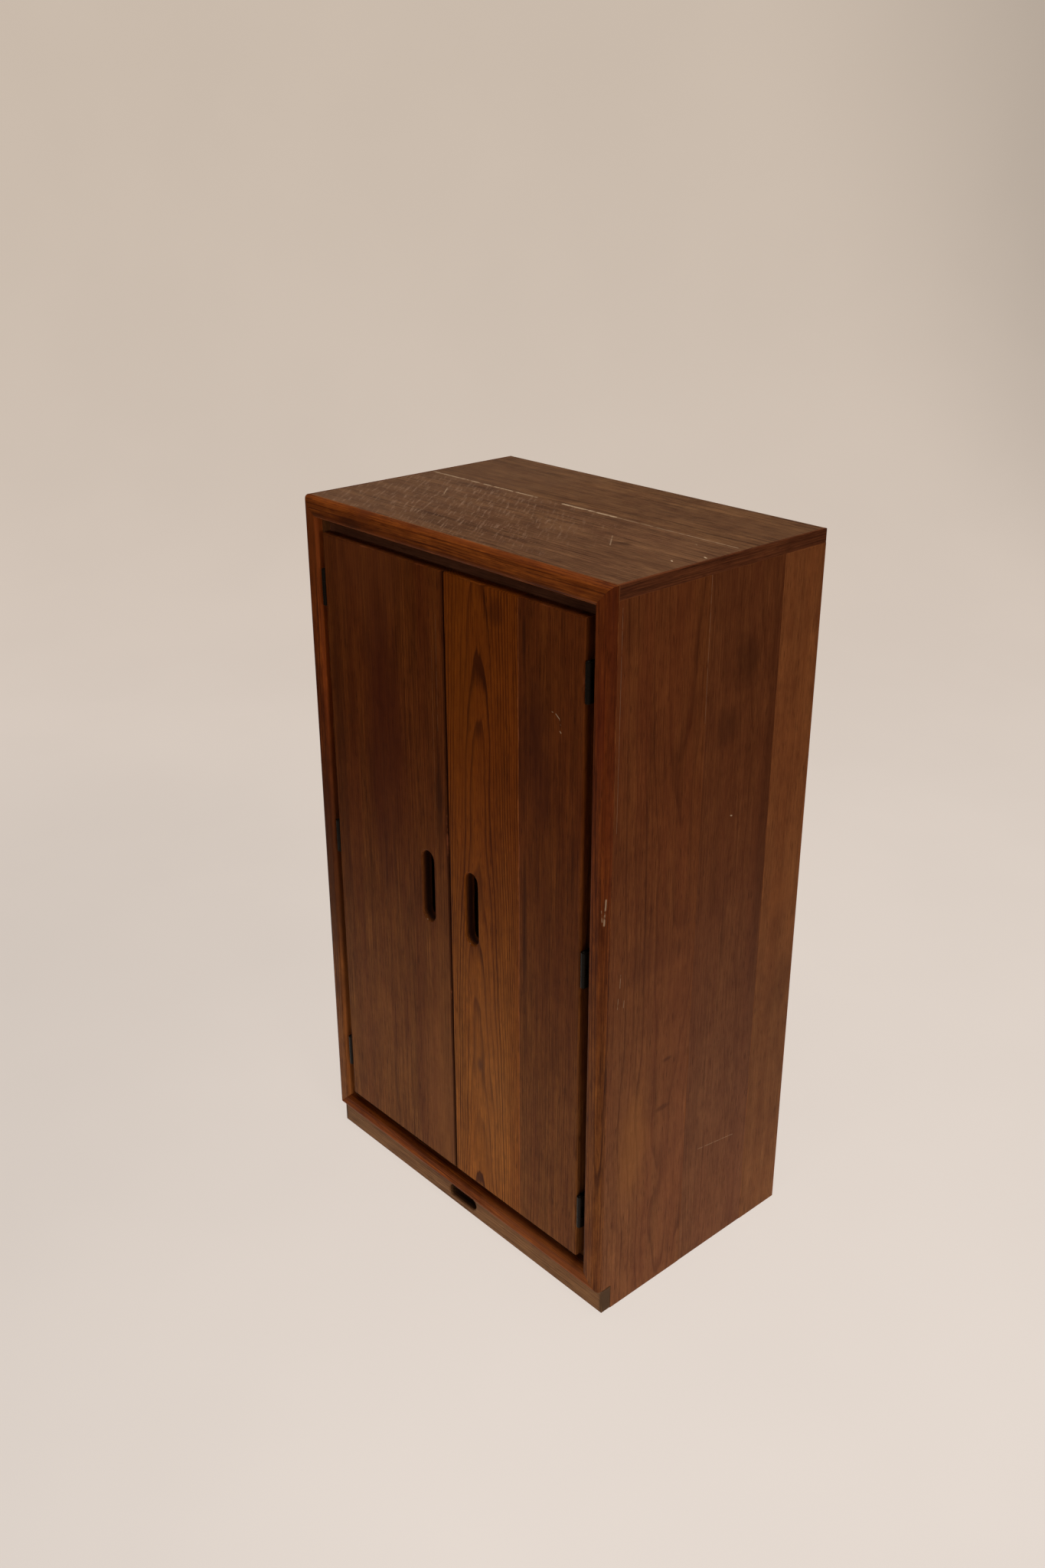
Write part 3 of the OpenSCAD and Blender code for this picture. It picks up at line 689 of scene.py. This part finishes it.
# On both doors the paler colour of the rubbed arrises is also a painted highlight along the lit top edge
DARK_DOOR = wood_look(
    (112, 58, 21), (54, 22, 7), (82, 34, 13), ring=0.0028, rings=0.45, fibres=1.6, wear=0.0025,
    worn=linear(150, 84, 52), faded=(1.25, 1.75, 2.6),
)
LIGHT_DOOR = wood_look(
    (132, 66, 14), (58, 24, 5), (112, 50, 10), rings=1.2, fibres=1.1, tones=0.3, mottle=0.4, wear=0.0025,
    worn=linear(168, 98, 50), faded=(1.4, 2.0, 4.2),
)
SIDE = wood_look(
    (122, 68, 34), (68, 32, 15), (104, 51, 26), ring=0.0032, rings=0.3, fibres=0.8, mottle=0.45,
    faded=(1.15, 1.45, 1.9),
)
# The paler colour of the frame's rubbed arrises is also a painted highlight along its edges
FRAME = wood_look(
    (146, 76, 26), (60, 25, 8), (98, 44, 12), ring=0.004, rings=0.7, fibres=2.2, tones=0.8, mottle=0.8,
    shine=0.06, worn=linear(160, 100, 52),
)
STILE = {
    **FRAME, **wood_look((126, 60, 21), (58, 23, 8), (90, 38, 14), shine=0.03, faded=(1.15, 1.8, 2.4)),
}
LOW_RAIL = {**FRAME, **wood_look((132, 67, 22), (55, 23, 7), (89, 41, 13), shine=0.01)}
TOP = wood_look(
    (120, 84, 58), (66, 42, 27), (97, 66, 45), grain="X", ring=0.004, rings=0.4, fibres=2.6, tones=0.6,
    mottle=0.6, shine=0.05,
)
LIPPING = wood_look((114, 64, 38), (52, 26, 14), (80, 40, 24), grain="Y", ring=0.004, rings=0.4, fibres=1.6)
BASE = wood_look(
    (134, 96, 64), (66, 43, 26), (104, 72, 48), grain="X", ring=0.004, rings=0.4, fibres=1.4, tones=0.4,
)
INNER = wood_look((112, 70, 38), (58, 31, 14), (88, 50, 25), ring=0.004, rings=0.5, fibres=1.2, tones=0.4)
# A lighter, greyer copy of the inner wood for the header rail: painted light in the recess above the doors
SHADED = {**INNER, **wood_look((118, 74, 52), (70, 40, 26), (98, 58, 40))}
PALE = wood_look(
    (196, 160, 112), (140, 104, 64), (176, 136, 90), ring=0.004, rings=0.5, fibres=1.0, tones=0.4, mottle=0.2,
)
BACK_PLY = wood_look(
    (170, 130, 84), (112, 78, 46), (146, 106, 66), ring=0.005, rings=0.8, fibres=1.0, tones=0.4, mottle=0.3,
)


# ---- Every board's own timber --------------------------------------------------------------------

def dress(name, radius, look, joints=(), **own):
    """Softens a board's arrises and gives it its own timber."""
    piece = softened(name, radius, joints)
    finish_piece(piece, oiled_wood(name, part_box(name), **{**look, **own}))


def in_door_slot(x):
    """Painted shade inside a finger slot, with the darker end grain of its walls, which starts behind the
    face of the door.
    """
    half = 11.5 * MM
    return Stain((x, Y_DOOR + half, Z_DOOR_SLOT), (0.07, half, 0.22), 0.92, linear(30, 14, 8), 0.0)


def in_drawer_slot():
    """Painted shade inside the drawer's finger slot, behind its face."""
    half = 11.0 * MM
    return Stain((0.0, Y_DRAWER + half, Z_DRAWER_SLOT), (0.075, half, 0.030), 0.92, linear(34, 24, 16), 0.0)


def dress_side(sign, side):
    """One side's three boards. sign is -1 for the left side and 1 for the right one."""
    joints = ((1, Y_SIDE_A), (1, Y_SIDE_B), (1, Y_CASE), (2, Z_TOP_UNDER))
    face = sign * X_HALF
    heart = sign * (X_HALF - 0.09)
    dress(
        f"side_{side}_front_board", EASE_SIDE, SIDE, joints, heart=(heart, -0.077, 0.5),
        lean=(0.03 * sign, 0.01, 0), waver=0.04, ring=0.0070, rings=0.45, seed=1.0 + sign,
        smudges=(
            Stain((face, -0.150, 0.300), (0.1, 0.045, 0.160), 0.30, linear(146, 84, 36), 0.5),
            Stain((face, -0.120, 0.640), (0.1, 0.090, 0.050), 0.25, linear(84, 42, 22), 0.6),
            Stain((face, -0.062, 0.640), (0.1, 0.006, 0.030), 0.45, linear(70, 34, 17), 0.6),
            Stain((face, -0.078, 0.440), (0.1, 0.015, 0.006), 0.60, linear(66, 32, 16), 0.5),
            Stain((face, -0.085, 0.350), (0.1, 0.022, 0.007), 0.55, linear(66, 32, 16), 0.5),
            Stain((face, -0.020, 0.150), (0.1, 0.004, 0.060), 0.40, linear(66, 32, 16), 0.6),
        ),
        scratches=(
            Mark((face, -0.028, 1.225), (face, -0.028, 1.000), 0.8 * MM, 0.16),
            Mark((face, -0.190, 0.640), (face, -0.191, 0.618), 0.7 * MM, 0.45),
            Mark((face, -0.194, 0.600), (face, -0.195, 0.582), 0.7 * MM, 0.40),
            Mark((face, -0.181, 0.592), (face, -0.182, 0.580), 0.7 * MM, 0.40),
            Mark((face, -0.206, 1.212), (face, -0.207, 0.880), 0.8 * MM, 0.14),
        ),
    )
    dress(
        f"side_{side}_middle_board", EASE_SIDE, SIDE, joints, heart=(heart, 0.11, 0.5),
        lean=(0.02 * sign, 0, 0), waver=0.03, ring=0.0050, rings=0.3, seed=2.0 + sign,
        light=linear(118, 67, 36), tint=linear(92, 46, 25),
        smudges=(
            Stain((face, 0.060, 1.080), (0.1, 0.050, 0.060), 0.45, linear(58, 29, 15), 0.9),
            Stain((face, 0.020, 0.985), (0.1, 0.030, 0.040), 0.40, linear(58, 29, 15), 0.9),
            Stain((face, 0.125, 0.750), (0.1, 0.018, 0.500), 0.35, linear(64, 32, 17), 0.5),
            Stain((face, 0.040, 0.620), (0.1, 0.008, 0.080), 0.35, linear(66, 34, 18), 0.7),
        ),
        scratches=(
            Mark((face, 0.043, 0.829), (face, 0.046, 0.828), 1.3 * MM, 0.8),
            Mark((face, 0.010, 0.218), (face, 0.100, 0.203), 0.9 * MM, 0.30),
        ),
    )
    dress(
        f"side_{side}_back_board", EASE_SIDE, SIDE, joints, heart=(heart, 0.40, 0.5), seed=3.0 + sign,
        light=linear(149, 90, 50), dark=linear(84, 43, 22), tint=linear(124, 68, 36), faded=(0.76, 0.88, 1.0),
        smudges=(
            Stain((face, 0.185, 0.640), (0.1, 0.060, 0.050), 0.30, linear(150, 88, 46), 0.8),
            Stain((face, 0.200, 0.440), (0.1, 0.040, 0.100), 0.30, linear(90, 50, 28), 0.8),
        ),
    )
    lipping_joints = ((0, sign * X_LIPPING), (2, Z_TOP_UNDER), (1, Y_CASE))
    dress(f"top_lipping_{side}", EASE_BOARD, LIPPING, lipping_joints, heart=(0.3, 1.1, 0.0), seed=4.0)
    dress(f"hanging_stile_{side}", EASE_BOARD, INNER, seed=6.0)
    dress(f"drawer_side_{side}", EASE_BOARD, PALE, grain="Y", seed=7.0)
    dress(f"drawer_runner_{side}", EASE_BOARD, PALE, grain="Y", seed=8.0)


def dress_top():
    """Two boards, paler and greyer over the left, with the painted sheen of old polish strokes and a rubbed
    joint between them.
    """
    joints = ((1, Y_TOP_JOINT), (0, X_LIPPING), (0, -X_LIPPING), (1, Y_CASE))
    haze = Stain((-0.380, 0.0, Z_TOP), (0.40, 0.8, 0.1), 0.12, linear(150, 119, 97), 0.3)
    joint_line = (
        Mark((-0.352, Y_TOP_JOINT, Z_TOP), (-0.085, Y_TOP_JOINT, Z_TOP), 3.0 * MM, 0.60),
        Mark((-0.022, Y_TOP_JOINT, Z_TOP), (0.095, Y_TOP_JOINT, Z_TOP), 3.6 * MM, 0.75),
        Mark((0.095, Y_TOP_JOINT, Z_TOP), (0.340, Y_TOP_JOINT, Z_TOP), 2.0 * MM, 0.35),
    )
    dress(
        "top_front_board", EASE_TOP, TOP, joints, heart=(-0.06, 1.15, 0.2), lean=(0, 0.05, 0), seed=9.0,
        # Painted sheen along the strokes of an old polish
        waver=0.05, ripples=((0.62, -0.78, 0.0), (-0.17, -0.10, Z_TOP), (0.42, 0.26, 0.2), 0.45),
        smudges=(
            haze,
            Stain((0.212, -0.060, Z_TOP), (0.020, 0.012, 0.1), 0.60, linear(58, 36, 24), 0.6),
            Stain((-0.080, -0.150, Z_TOP), (0.120, 0.070, 0.1), 0.30, linear(80, 54, 38), 0.6),
        ),
        scratches=joint_line + (
            Mark((0.286, 0.013, Z_TOP), (0.291, 0.009, Z_TOP), 1.8 * MM, 1.0),
            Mark((0.340, -0.029, Z_TOP), (0.345, -0.031, Z_TOP), 1.7 * MM, 1.0),
            Mark((0.320, -0.075, Z_TOP), (0.324, -0.078, Z_TOP), 1.5 * MM, 0.9),
            Mark((-0.235, -0.020, Z_TOP), (-0.205, -0.052, Z_TOP), 1.4 * MM, 0.45),
            Mark((0.170, -0.040, Z_TOP), (0.205, -0.080, Z_TOP), 1.3 * MM, 0.35),
        ),
    )
    dress(
        "top_back_board", EASE_TOP, TOP, joints, heart=(0.40, 1.15, 0.0), seed=10.0, rings=0.3,
        light=linear(124, 87, 58), smudges=(haze,), scratches=joint_line,
    )


def dress_frame():
    """The raised frame round the doors, with dark and light patches, painted shade along the underside of the
    top rail, and painted light on the inner face of the left stile.
    """
    lean = (0, 0.02, 0)
    dress(
        "frame_top_rail", EASE_FRAME, FRAME, grain="X", heart=(-0.12, 1.30, 0.0), lean=lean, seed=11.0,
        smudges=(
            Stain((-0.222, Y_FRAME, 1.222), (0.050, 0.1, 0.014), 0.65, linear(52, 23, 10), 0.5),
            Stain((-0.195, Y_FRAME, 1.240), (0.030, 0.1, 0.014), 0.55, linear(84, 38, 18), 0.5),
            Stain((-0.318, Y_FRAME, 1.218), (0.030, 0.1, 0.008), 0.60, linear(54, 24, 10), 0.4),
            # Painted shade along the underside of the rail's lower lip
            Stain((0.060, Y_FRAME, 1.218), (0.250, 0.1, 0.006), 0.40, linear(70, 30, 12), 0.5),
        ),
    )
    dress(
        "frame_bottom_rail", EASE_FRAME, LOW_RAIL, grain="X", heart=(-0.12, 0.02, 0.0), lean=lean, seed=12.0,
        smudges=(
            Stain((-0.190, Y_FRAME, 0.062), (0.110, 0.1, 0.010), 0.15, linear(140, 70, 24), 0.5),
            Stain((0.120, Y_FRAME, 0.052), (0.160, 0.1, 0.006), 0.40, linear(62, 28, 12), 0.5),
            Stain((0.220, Y_FRAME, 0.070), (0.260, 0.1, 0.050), 0.2, linear(158, 96, 54), 0.4),
        ),
    )
    dress(
        "frame_left_stile", EASE_FRAME, STILE, heart=(-0.25, -0.12, 0.0), lean=lean, seed=13.0,
        smudges=(
            # Painted light on the inner face of the stile, in the gap beside the left door
            Stain((-X_HALF + 0.033, -0.221, 0.64), (0.006, 0.014, 2.0), 0.35, linear(160, 76, 30), 0.1),
            Stain((-0.335, Y_FRAME, 0.600), (0.040, 0.1, 0.380), 0.70, linear(60, 26, 12), 0.5),
            Stain((-0.335, Y_FRAME, 1.220), (0.040, 0.1, 0.260), 0.30, linear(138, 72, 30), 0.5),
        ),
    )
    dress(
        "frame_right_stile", EASE_FRAME, STILE, heart=(0.25, -0.12, 0.0), lean=lean, seed=14.0,
        smudges=(
            Stain((0.340, Y_FRAME, 1.050), (0.012, 0.1, 0.120), 0.45, linear(92, 30, 12), 0.5),
            Stain((0.336, Y_FRAME, 0.420), (0.010, 0.1, 0.150), 0.35, linear(72, 30, 14), 0.5),
        ),
        scratches=(
            Mark((0.353, Y_FRAME + 0.006, 0.778), (0.352, Y_FRAME + 0.004, 0.736), 1.6 * MM, 0.55),
            Mark((0.349, Y_FRAME + 0.001, 0.760), (0.350, Y_FRAME + 0.002, 0.742), 1.0 * MM, 0.45),
        ),
    )


def dress_doors():
    """The left door is one dark board. The right one has a light board by its slot and a dark one outside."""
    joints = ((0, X_DOOR_JOINT),)
    dress(
        "door_left_panel", EASE_DOOR, DARK_DOOR, heart=(-0.70, -0.15, 0.3), seed=15.0,
        smudges=(
            in_door_slot(-X_DOOR_SLOT),
            Stain((-0.160, Y_DOOR, 0.88), (0.068, 0.1, 0.36), 0.5, linear(62, 23, 14), 0.35),
            Stain((-0.200, Y_DOOR, 1.22), (0.150, 0.1, 0.24), 0.3, linear(112, 62, 34), 0.3),
            Stain((-0.030, Y_DOOR, 0.28), (0.055, 0.1, 0.34), 0.18, linear(134, 72, 30), 0.4),
            Stain((-0.285, Y_DOOR, 0.80), (0.022, 0.1, 0.55), 0.35, linear(46, 21, 10), 0.3),
            Stain((-0.020, Y_DOOR, 0.815), (0.013, 0.1, 0.085), 0.6, linear(38, 16, 8), 0.35),
            # Painted shade along the door's edge where it meets the right door
            Stain((-0.001, Y_DOOR, 0.640), (0.005, 0.1, 2.0), 0.75, linear(36, 13, 6), 0.2),
        ),
        scratches=(
            # Painted glint on the lower rim of the finger slot
            Mark((-0.068, Y_DOOR, 0.584), (-0.060, Y_DOOR, 0.577), 1.4 * MM, 0.55),
            Mark((-0.018, Y_DOOR, 1.120), (-0.019, Y_DOOR, 0.930), 0.7 * MM, 0.08),
            Mark((-0.030, Y_DOOR, 1.060), (-0.031, Y_DOOR, 0.700), 0.6 * MM, 0.06),
        ),
    )
    dress(
        "door_right_inner_board", EASE_DOOR, LIGHT_DOOR, joints, heart=(0.072, -0.150, 0.36),
        lean=(0.006, 0.024, 0), waver=0.016, ring=0.0036, seed=16.0,
        smudges=(
            in_door_slot(X_DOOR_SLOT),
            Stain((0.040, Y_DOOR, 1.00), (0.045, 0.1, 0.35), 0.35, linear(118, 60, 10), 0.4),
            Stain((0.072, Y_DOOR, 0.352), (0.010, 0.1, 0.020), 0.7, linear(56, 26, 10), 0.4),
            Stain((0.120, Y_DOOR, 1.155), (0.030, 0.1, 0.030), 0.5, linear(62, 26, 8), 0.4),
            Stain((0.100, Y_DOOR, 0.32), (0.070, 0.1, 0.26), 0.12, linear(150, 84, 30), 0.4),
            # Painted shade along the board's edge where it meets the left door
            Stain((0.001, Y_DOOR, 0.640), (0.004, 0.1, 2.0), 0.70, linear(40, 15, 6), 0.2),
        ),
        # Painted glint on the lower rim of the finger slot
        scratches=(Mark((0.042, Y_DOOR, 0.584), (0.050, Y_DOOR, 0.577), 1.4 * MM, 0.55),),
    )
    dress(
        "door_right_outer_board", EASE_DOOR, DARK_DOOR, joints, heart=(0.60, -0.15, 0.3), seed=17.0,
        smudges=(
            Stain((0.205, Y_DOOR, 0.96), (0.050, 0.1, 0.16), 0.5, linear(56, 22, 15), 0.4),
            Stain((0.182, Y_DOOR, 1.130), (0.006, 0.1, 0.060), 0.6, linear(40, 18, 8), 0.5),
            Stain((0.183, Y_DOOR, 0.660), (0.006, 0.1, 0.190), 0.45, linear(40, 18, 8), 0.5),
        ),
        scratches=(
            Mark((0.249, Y_DOOR, 1.036), (0.256, Y_DOOR, 1.031), 0.9 * MM, 0.7),
            Mark((0.256, Y_DOOR, 1.031), (0.259, Y_DOOR, 1.022), 0.8 * MM, 0.6),
            Mark((0.258, Y_DOOR, 1.012), (0.260, Y_DOOR, 1.010), 1.2 * MM, 0.8),
            Mark((0.241, Y_DOOR, 1.037), (0.243, Y_DOOR, 1.037), 0.8 * MM, 0.5),
        ),
    )


def dress_inside():
    """Shelves, rails, back and drawer."""
    boards = (
        "shelf_upper", "shelf_middle", "shelf_lower", "bottom_panel", "header_rail", "sill_rail",
        "base_back_rail",
    )
    for number, name in enumerate(boards):
        middle = sum(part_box(name), Vector()) / 2
        # The header rail in the recess above the doors gets the copy of the inner wood with painted light
        look = SHADED if name == "header_rail" else INNER
        dress(
            name, EASE_BOARD, look, grain="X", heart=(middle.y, middle.z + 0.1, 0.0), seed=19.0 + number,
        )
    dress("back_panel", EASE_FRAME, BACK_PLY, heart=(0.05, 0.30, 0.4), lean=(0, 0.06, 0), seed=26.0)
    ends = [
        Stain((sign * X_HALF, -0.2035, 0.023), (0.008, 0.05, 0.05), 0.9, linear(70, 52, 36), 0.1)
        for sign in (-1, 1)
    ]
    dress(
        "drawer_front", EASE_BOARD, BASE, heart=(-0.15, 0.10, 0.0), seed=18.0,
        smudges=[in_drawer_slot()] + ends,
    )
    dress("drawer_back", EASE_THIN, PALE, grain="X", heart=(0.05, 0.1, 0.0), seed=27.0)
    dress("drawer_bottom", EASE_THIN, PALE, grain="X", heart=(0.05, 0.1, 0.0), seed=28.0)


def loose_parts(mesh):
    """The corner lists of the separate lumps of a mesh."""
    bm = bmesh.new()
    bm.from_mesh(mesh)
    bmesh.ops.remove_doubles(bm, verts=bm.verts, dist=WELD)
    left, lumps = set(bm.verts), []
    while left:
        todo, lump = [left.pop()], []
        while todo:
            vert = todo.pop()
            lump.append(vert.co.copy())
            for edge in vert.link_edges:
                other = edge.other_vert(vert)
                if other in left:
                    left.discard(other)
                    todo.append(other)
        lumps.append(lump)
    bm.free()
    return lumps


def screw_place(lump):
    """Where a screw's head is centred and which way it faces. The wide end is the head."""
    low = Vector([min(co[i] for co in lump) for i in range(3)])
    high = Vector([max(co[i] for co in lump) for i in range(3)])
    middle, size = (low + high) / 2, high - low
    along = max(range(3), key=lambda i: size[i])

    def width(at):
        """How wide the screw is at one end."""
        near = [co for co in lump if abs(co[along] - at) < 0.2 * MM]
        others = [i for i in range(3) if i != along]
        return max((abs(co[i] - middle[i]) for co in near for i in others), default=0)

    top = high[along] if width(high[along]) > width(low[along]) else low[along]
    head, facing = middle.copy(), Vector((0, 0, 0))
    head[along] = top
    facing[along] = math.copysign(1.0, top - middle[along])
    return head, facing, size[along]


def screw_tree():
    """A slotted screw at every point: it faces along Facing, is spun by chance, and is Length long."""
    tree = bpy.data.node_groups.new("screws", "GeometryNodeTree")
    tree.is_modifier = True
    tree.interface.new_socket("Places", in_out="INPUT", socket_type="NodeSocketGeometry")
    look = tree.interface.new_socket("Metal", in_out="INPUT", socket_type="NodeSocketMaterial")
    tree.interface.new_socket("Screws", in_out="OUTPUT", socket_type="NodeSocketGeometry")
    given = node(tree, "NodeGroupInput").outputs

    def cone(radius_top, radius_bottom, depth, top):
        """A cone that hangs down from the height top."""
        made = node(tree, "GeometryNodeMeshCone", {
            "Vertices": 32, "Radius Top": radius_top, "Radius Bottom": radius_bottom, "Depth": depth,
        })
        lowered = {"Geometry": made.outputs["Mesh"], "Translation": (0.0, 0.0, top - depth)}
        return node(tree, "GeometryNodeTransform", lowered)

    head = cone(2.95 * MM, 1.9 * MM, HEAD_DEEP - SCREW_GAP, -0.03 * MM)
    slot = node(tree, "GeometryNodeMeshCube", {"Size": (8.0 * MM, 0.8 * MM, 1.4 * MM)})
    cut = node(tree, "GeometryNodeMeshBoolean", {"Mesh 1": head}, operation="DIFFERENCE", solver="EXACT")
    tree.links.new(slot.outputs["Mesh"], cut.inputs["Mesh 2"])
    named = node(tree, "GeometryNodeInputNamedAttribute", {"Name": "Facing"}, data_type="FLOAT_VECTOR")
    facing = named.outputs["Attribute"]
    aim = node(tree, "FunctionNodeAlignRotationToVector", {"Vector": facing}, axis="Z")
    chance = node(tree, "FunctionNodeRandomValue", {"Seed": 7}, data_type="FLOAT")
    share = next(socket for socket in chance.outputs if socket.enabled)
    spin = node(tree, "ShaderNodeCombineXYZ", {"Z": calc(tree, "MULTIPLY", share, math.pi)})
    spun = node(
        tree, "FunctionNodeRotateRotation", {"Rotation": aim, "Rotate By": spin}, rotation_space="LOCAL"
    )
    heads = node(tree, "GeometryNodeInstanceOnPoints", {
        "Points": given["Places"], "Instance": cut.outputs["Mesh"], "Rotation": spun,
    })
    # The shank is a metre long before it is shortened to its own screw's length
    named = node(tree, "GeometryNodeInputNamedAttribute", {"Name": "Length"}, data_type="FLOAT")
    below = calc(tree, "SUBTRACT", named.outputs["Attribute"], HEAD_DEEP + SCREW_GAP)
    under = node(tree, "GeometryNodeSetPosition", {
        "Geometry": given["Places"], "Offset": vscale(tree, facing, -HEAD_DEEP),
    })
    shanks = node(tree, "GeometryNodeInstanceOnPoints", {
        "Points": under, "Instance": cone(1.45 * MM, 0.9 * MM, 1.0, 0.0), "Rotation": aim,
        "Scale": node(tree, "ShaderNodeCombineXYZ", {"X": 1.0, "Y": 1.0, "Z": below}),
    })
    laid = node(tree, "GeometryNodeJoinGeometry")
    tree.links.new(heads.outputs[0], laid.inputs[0])
    tree.links.new(shanks.outputs[0], laid.inputs[0])
    real = node(tree, "GeometryNodeRealizeInstances", {0: laid})
    dressed = node(tree, "GeometryNodeSetMaterial", {"Geometry": real, "Material": given["Metal"]})
    node(tree, "NodeGroupOutput", {0: dressed})
    return tree, look.identifier


def add_screws(name, tree, look_id, material):
    """Stands slotted screws where the CAD piece's screws are, always in the same order."""
    places = [screw_place(lump) for lump in loose_parts(NODES[name].data)]
    places.sort(key=lambda place: tuple(place[0]))
    mesh = bpy.data.meshes.new(name + "_places")
    mesh.from_pydata([head for head, facing, length in places], [], [])
    mesh.attributes.new("Facing", "FLOAT_VECTOR", "POINT")
    mesh.attributes.new("Length", "FLOAT", "POINT")
    for index, (head, facing, length) in enumerate(places):
        mesh.attributes["Facing"].data[index].vector = facing
        mesh.attributes["Length"].data[index].value = length
    piece = link_mesh(name + "_slotted", mesh)
    steps = piece.modifiers.new("screws", "NODES")
    steps.node_group = tree
    steps[look_id] = material
    made = bpy.data.meshes.new_from_object(piece.evaluated_get(bpy.context.evaluated_depsgraph_get()))
    piece.modifiers.clear()
    piece.data = made
    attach(piece, NODES[name]["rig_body"])
    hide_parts(name)


def finish_metal():
    """Hinges, screws, pins and the catch."""
    bronze = metal("hinge_bronze", linear(27, 20, 14), linear(17, 13, 9), 0.22, 0.2, 0.0, 0.06)
    brass = metal("aged_brass", linear(150, 120, 70), linear(96, 72, 40), 0.3)
    nickel = metal("nickel", linear(180, 178, 172), linear(150, 148, 142), 0.28)
    plastic = metal("catch_plastic", linear(52, 38, 28), linear(44, 32, 24), 0.45, 0.0, 0.0)
    screws = screw_tree()
    for name in NODES:
        if "leaf" in name or name.startswith("hinge_pins"):
            finish_node(name, bronze)
        elif "screws" in name:
            add_screws(name, *screws, brass)
        elif name == "shelf_pins":
            finish_node(name, brass)
        elif name.startswith("strike") or name == "catch_magnets":
            finish_node(name, nickel)
        elif name == "catch_body":
            finish_node(name, plastic)


# ---- The whole scene -----------------------------------------------------------------------------

floor = add_sweep()
finish_piece(floor, sweep_paper())
add_world()
add_softbox("overhead", (0.3, -0.3, 3.0), (0.3, -0.3, 0.0), 1.6, OVERHEAD_W)
add_softbox("right", (3.0, -1.0, 1.5), (0.0, 0.0, 0.5), 0.7, RIGHT_W)
add_softbox("front", (0.6, -3.2, 1.5), (0.0, 0.0, 0.5), 0.9, FRONT_W)
bpy.context.scene.view_settings.view_transform = "Standard"

dress_side(-1, "left")
dress_side(1, "right")
dress_top()
dress_frame()
dress_doors()
dress_inside()
finish_metal()
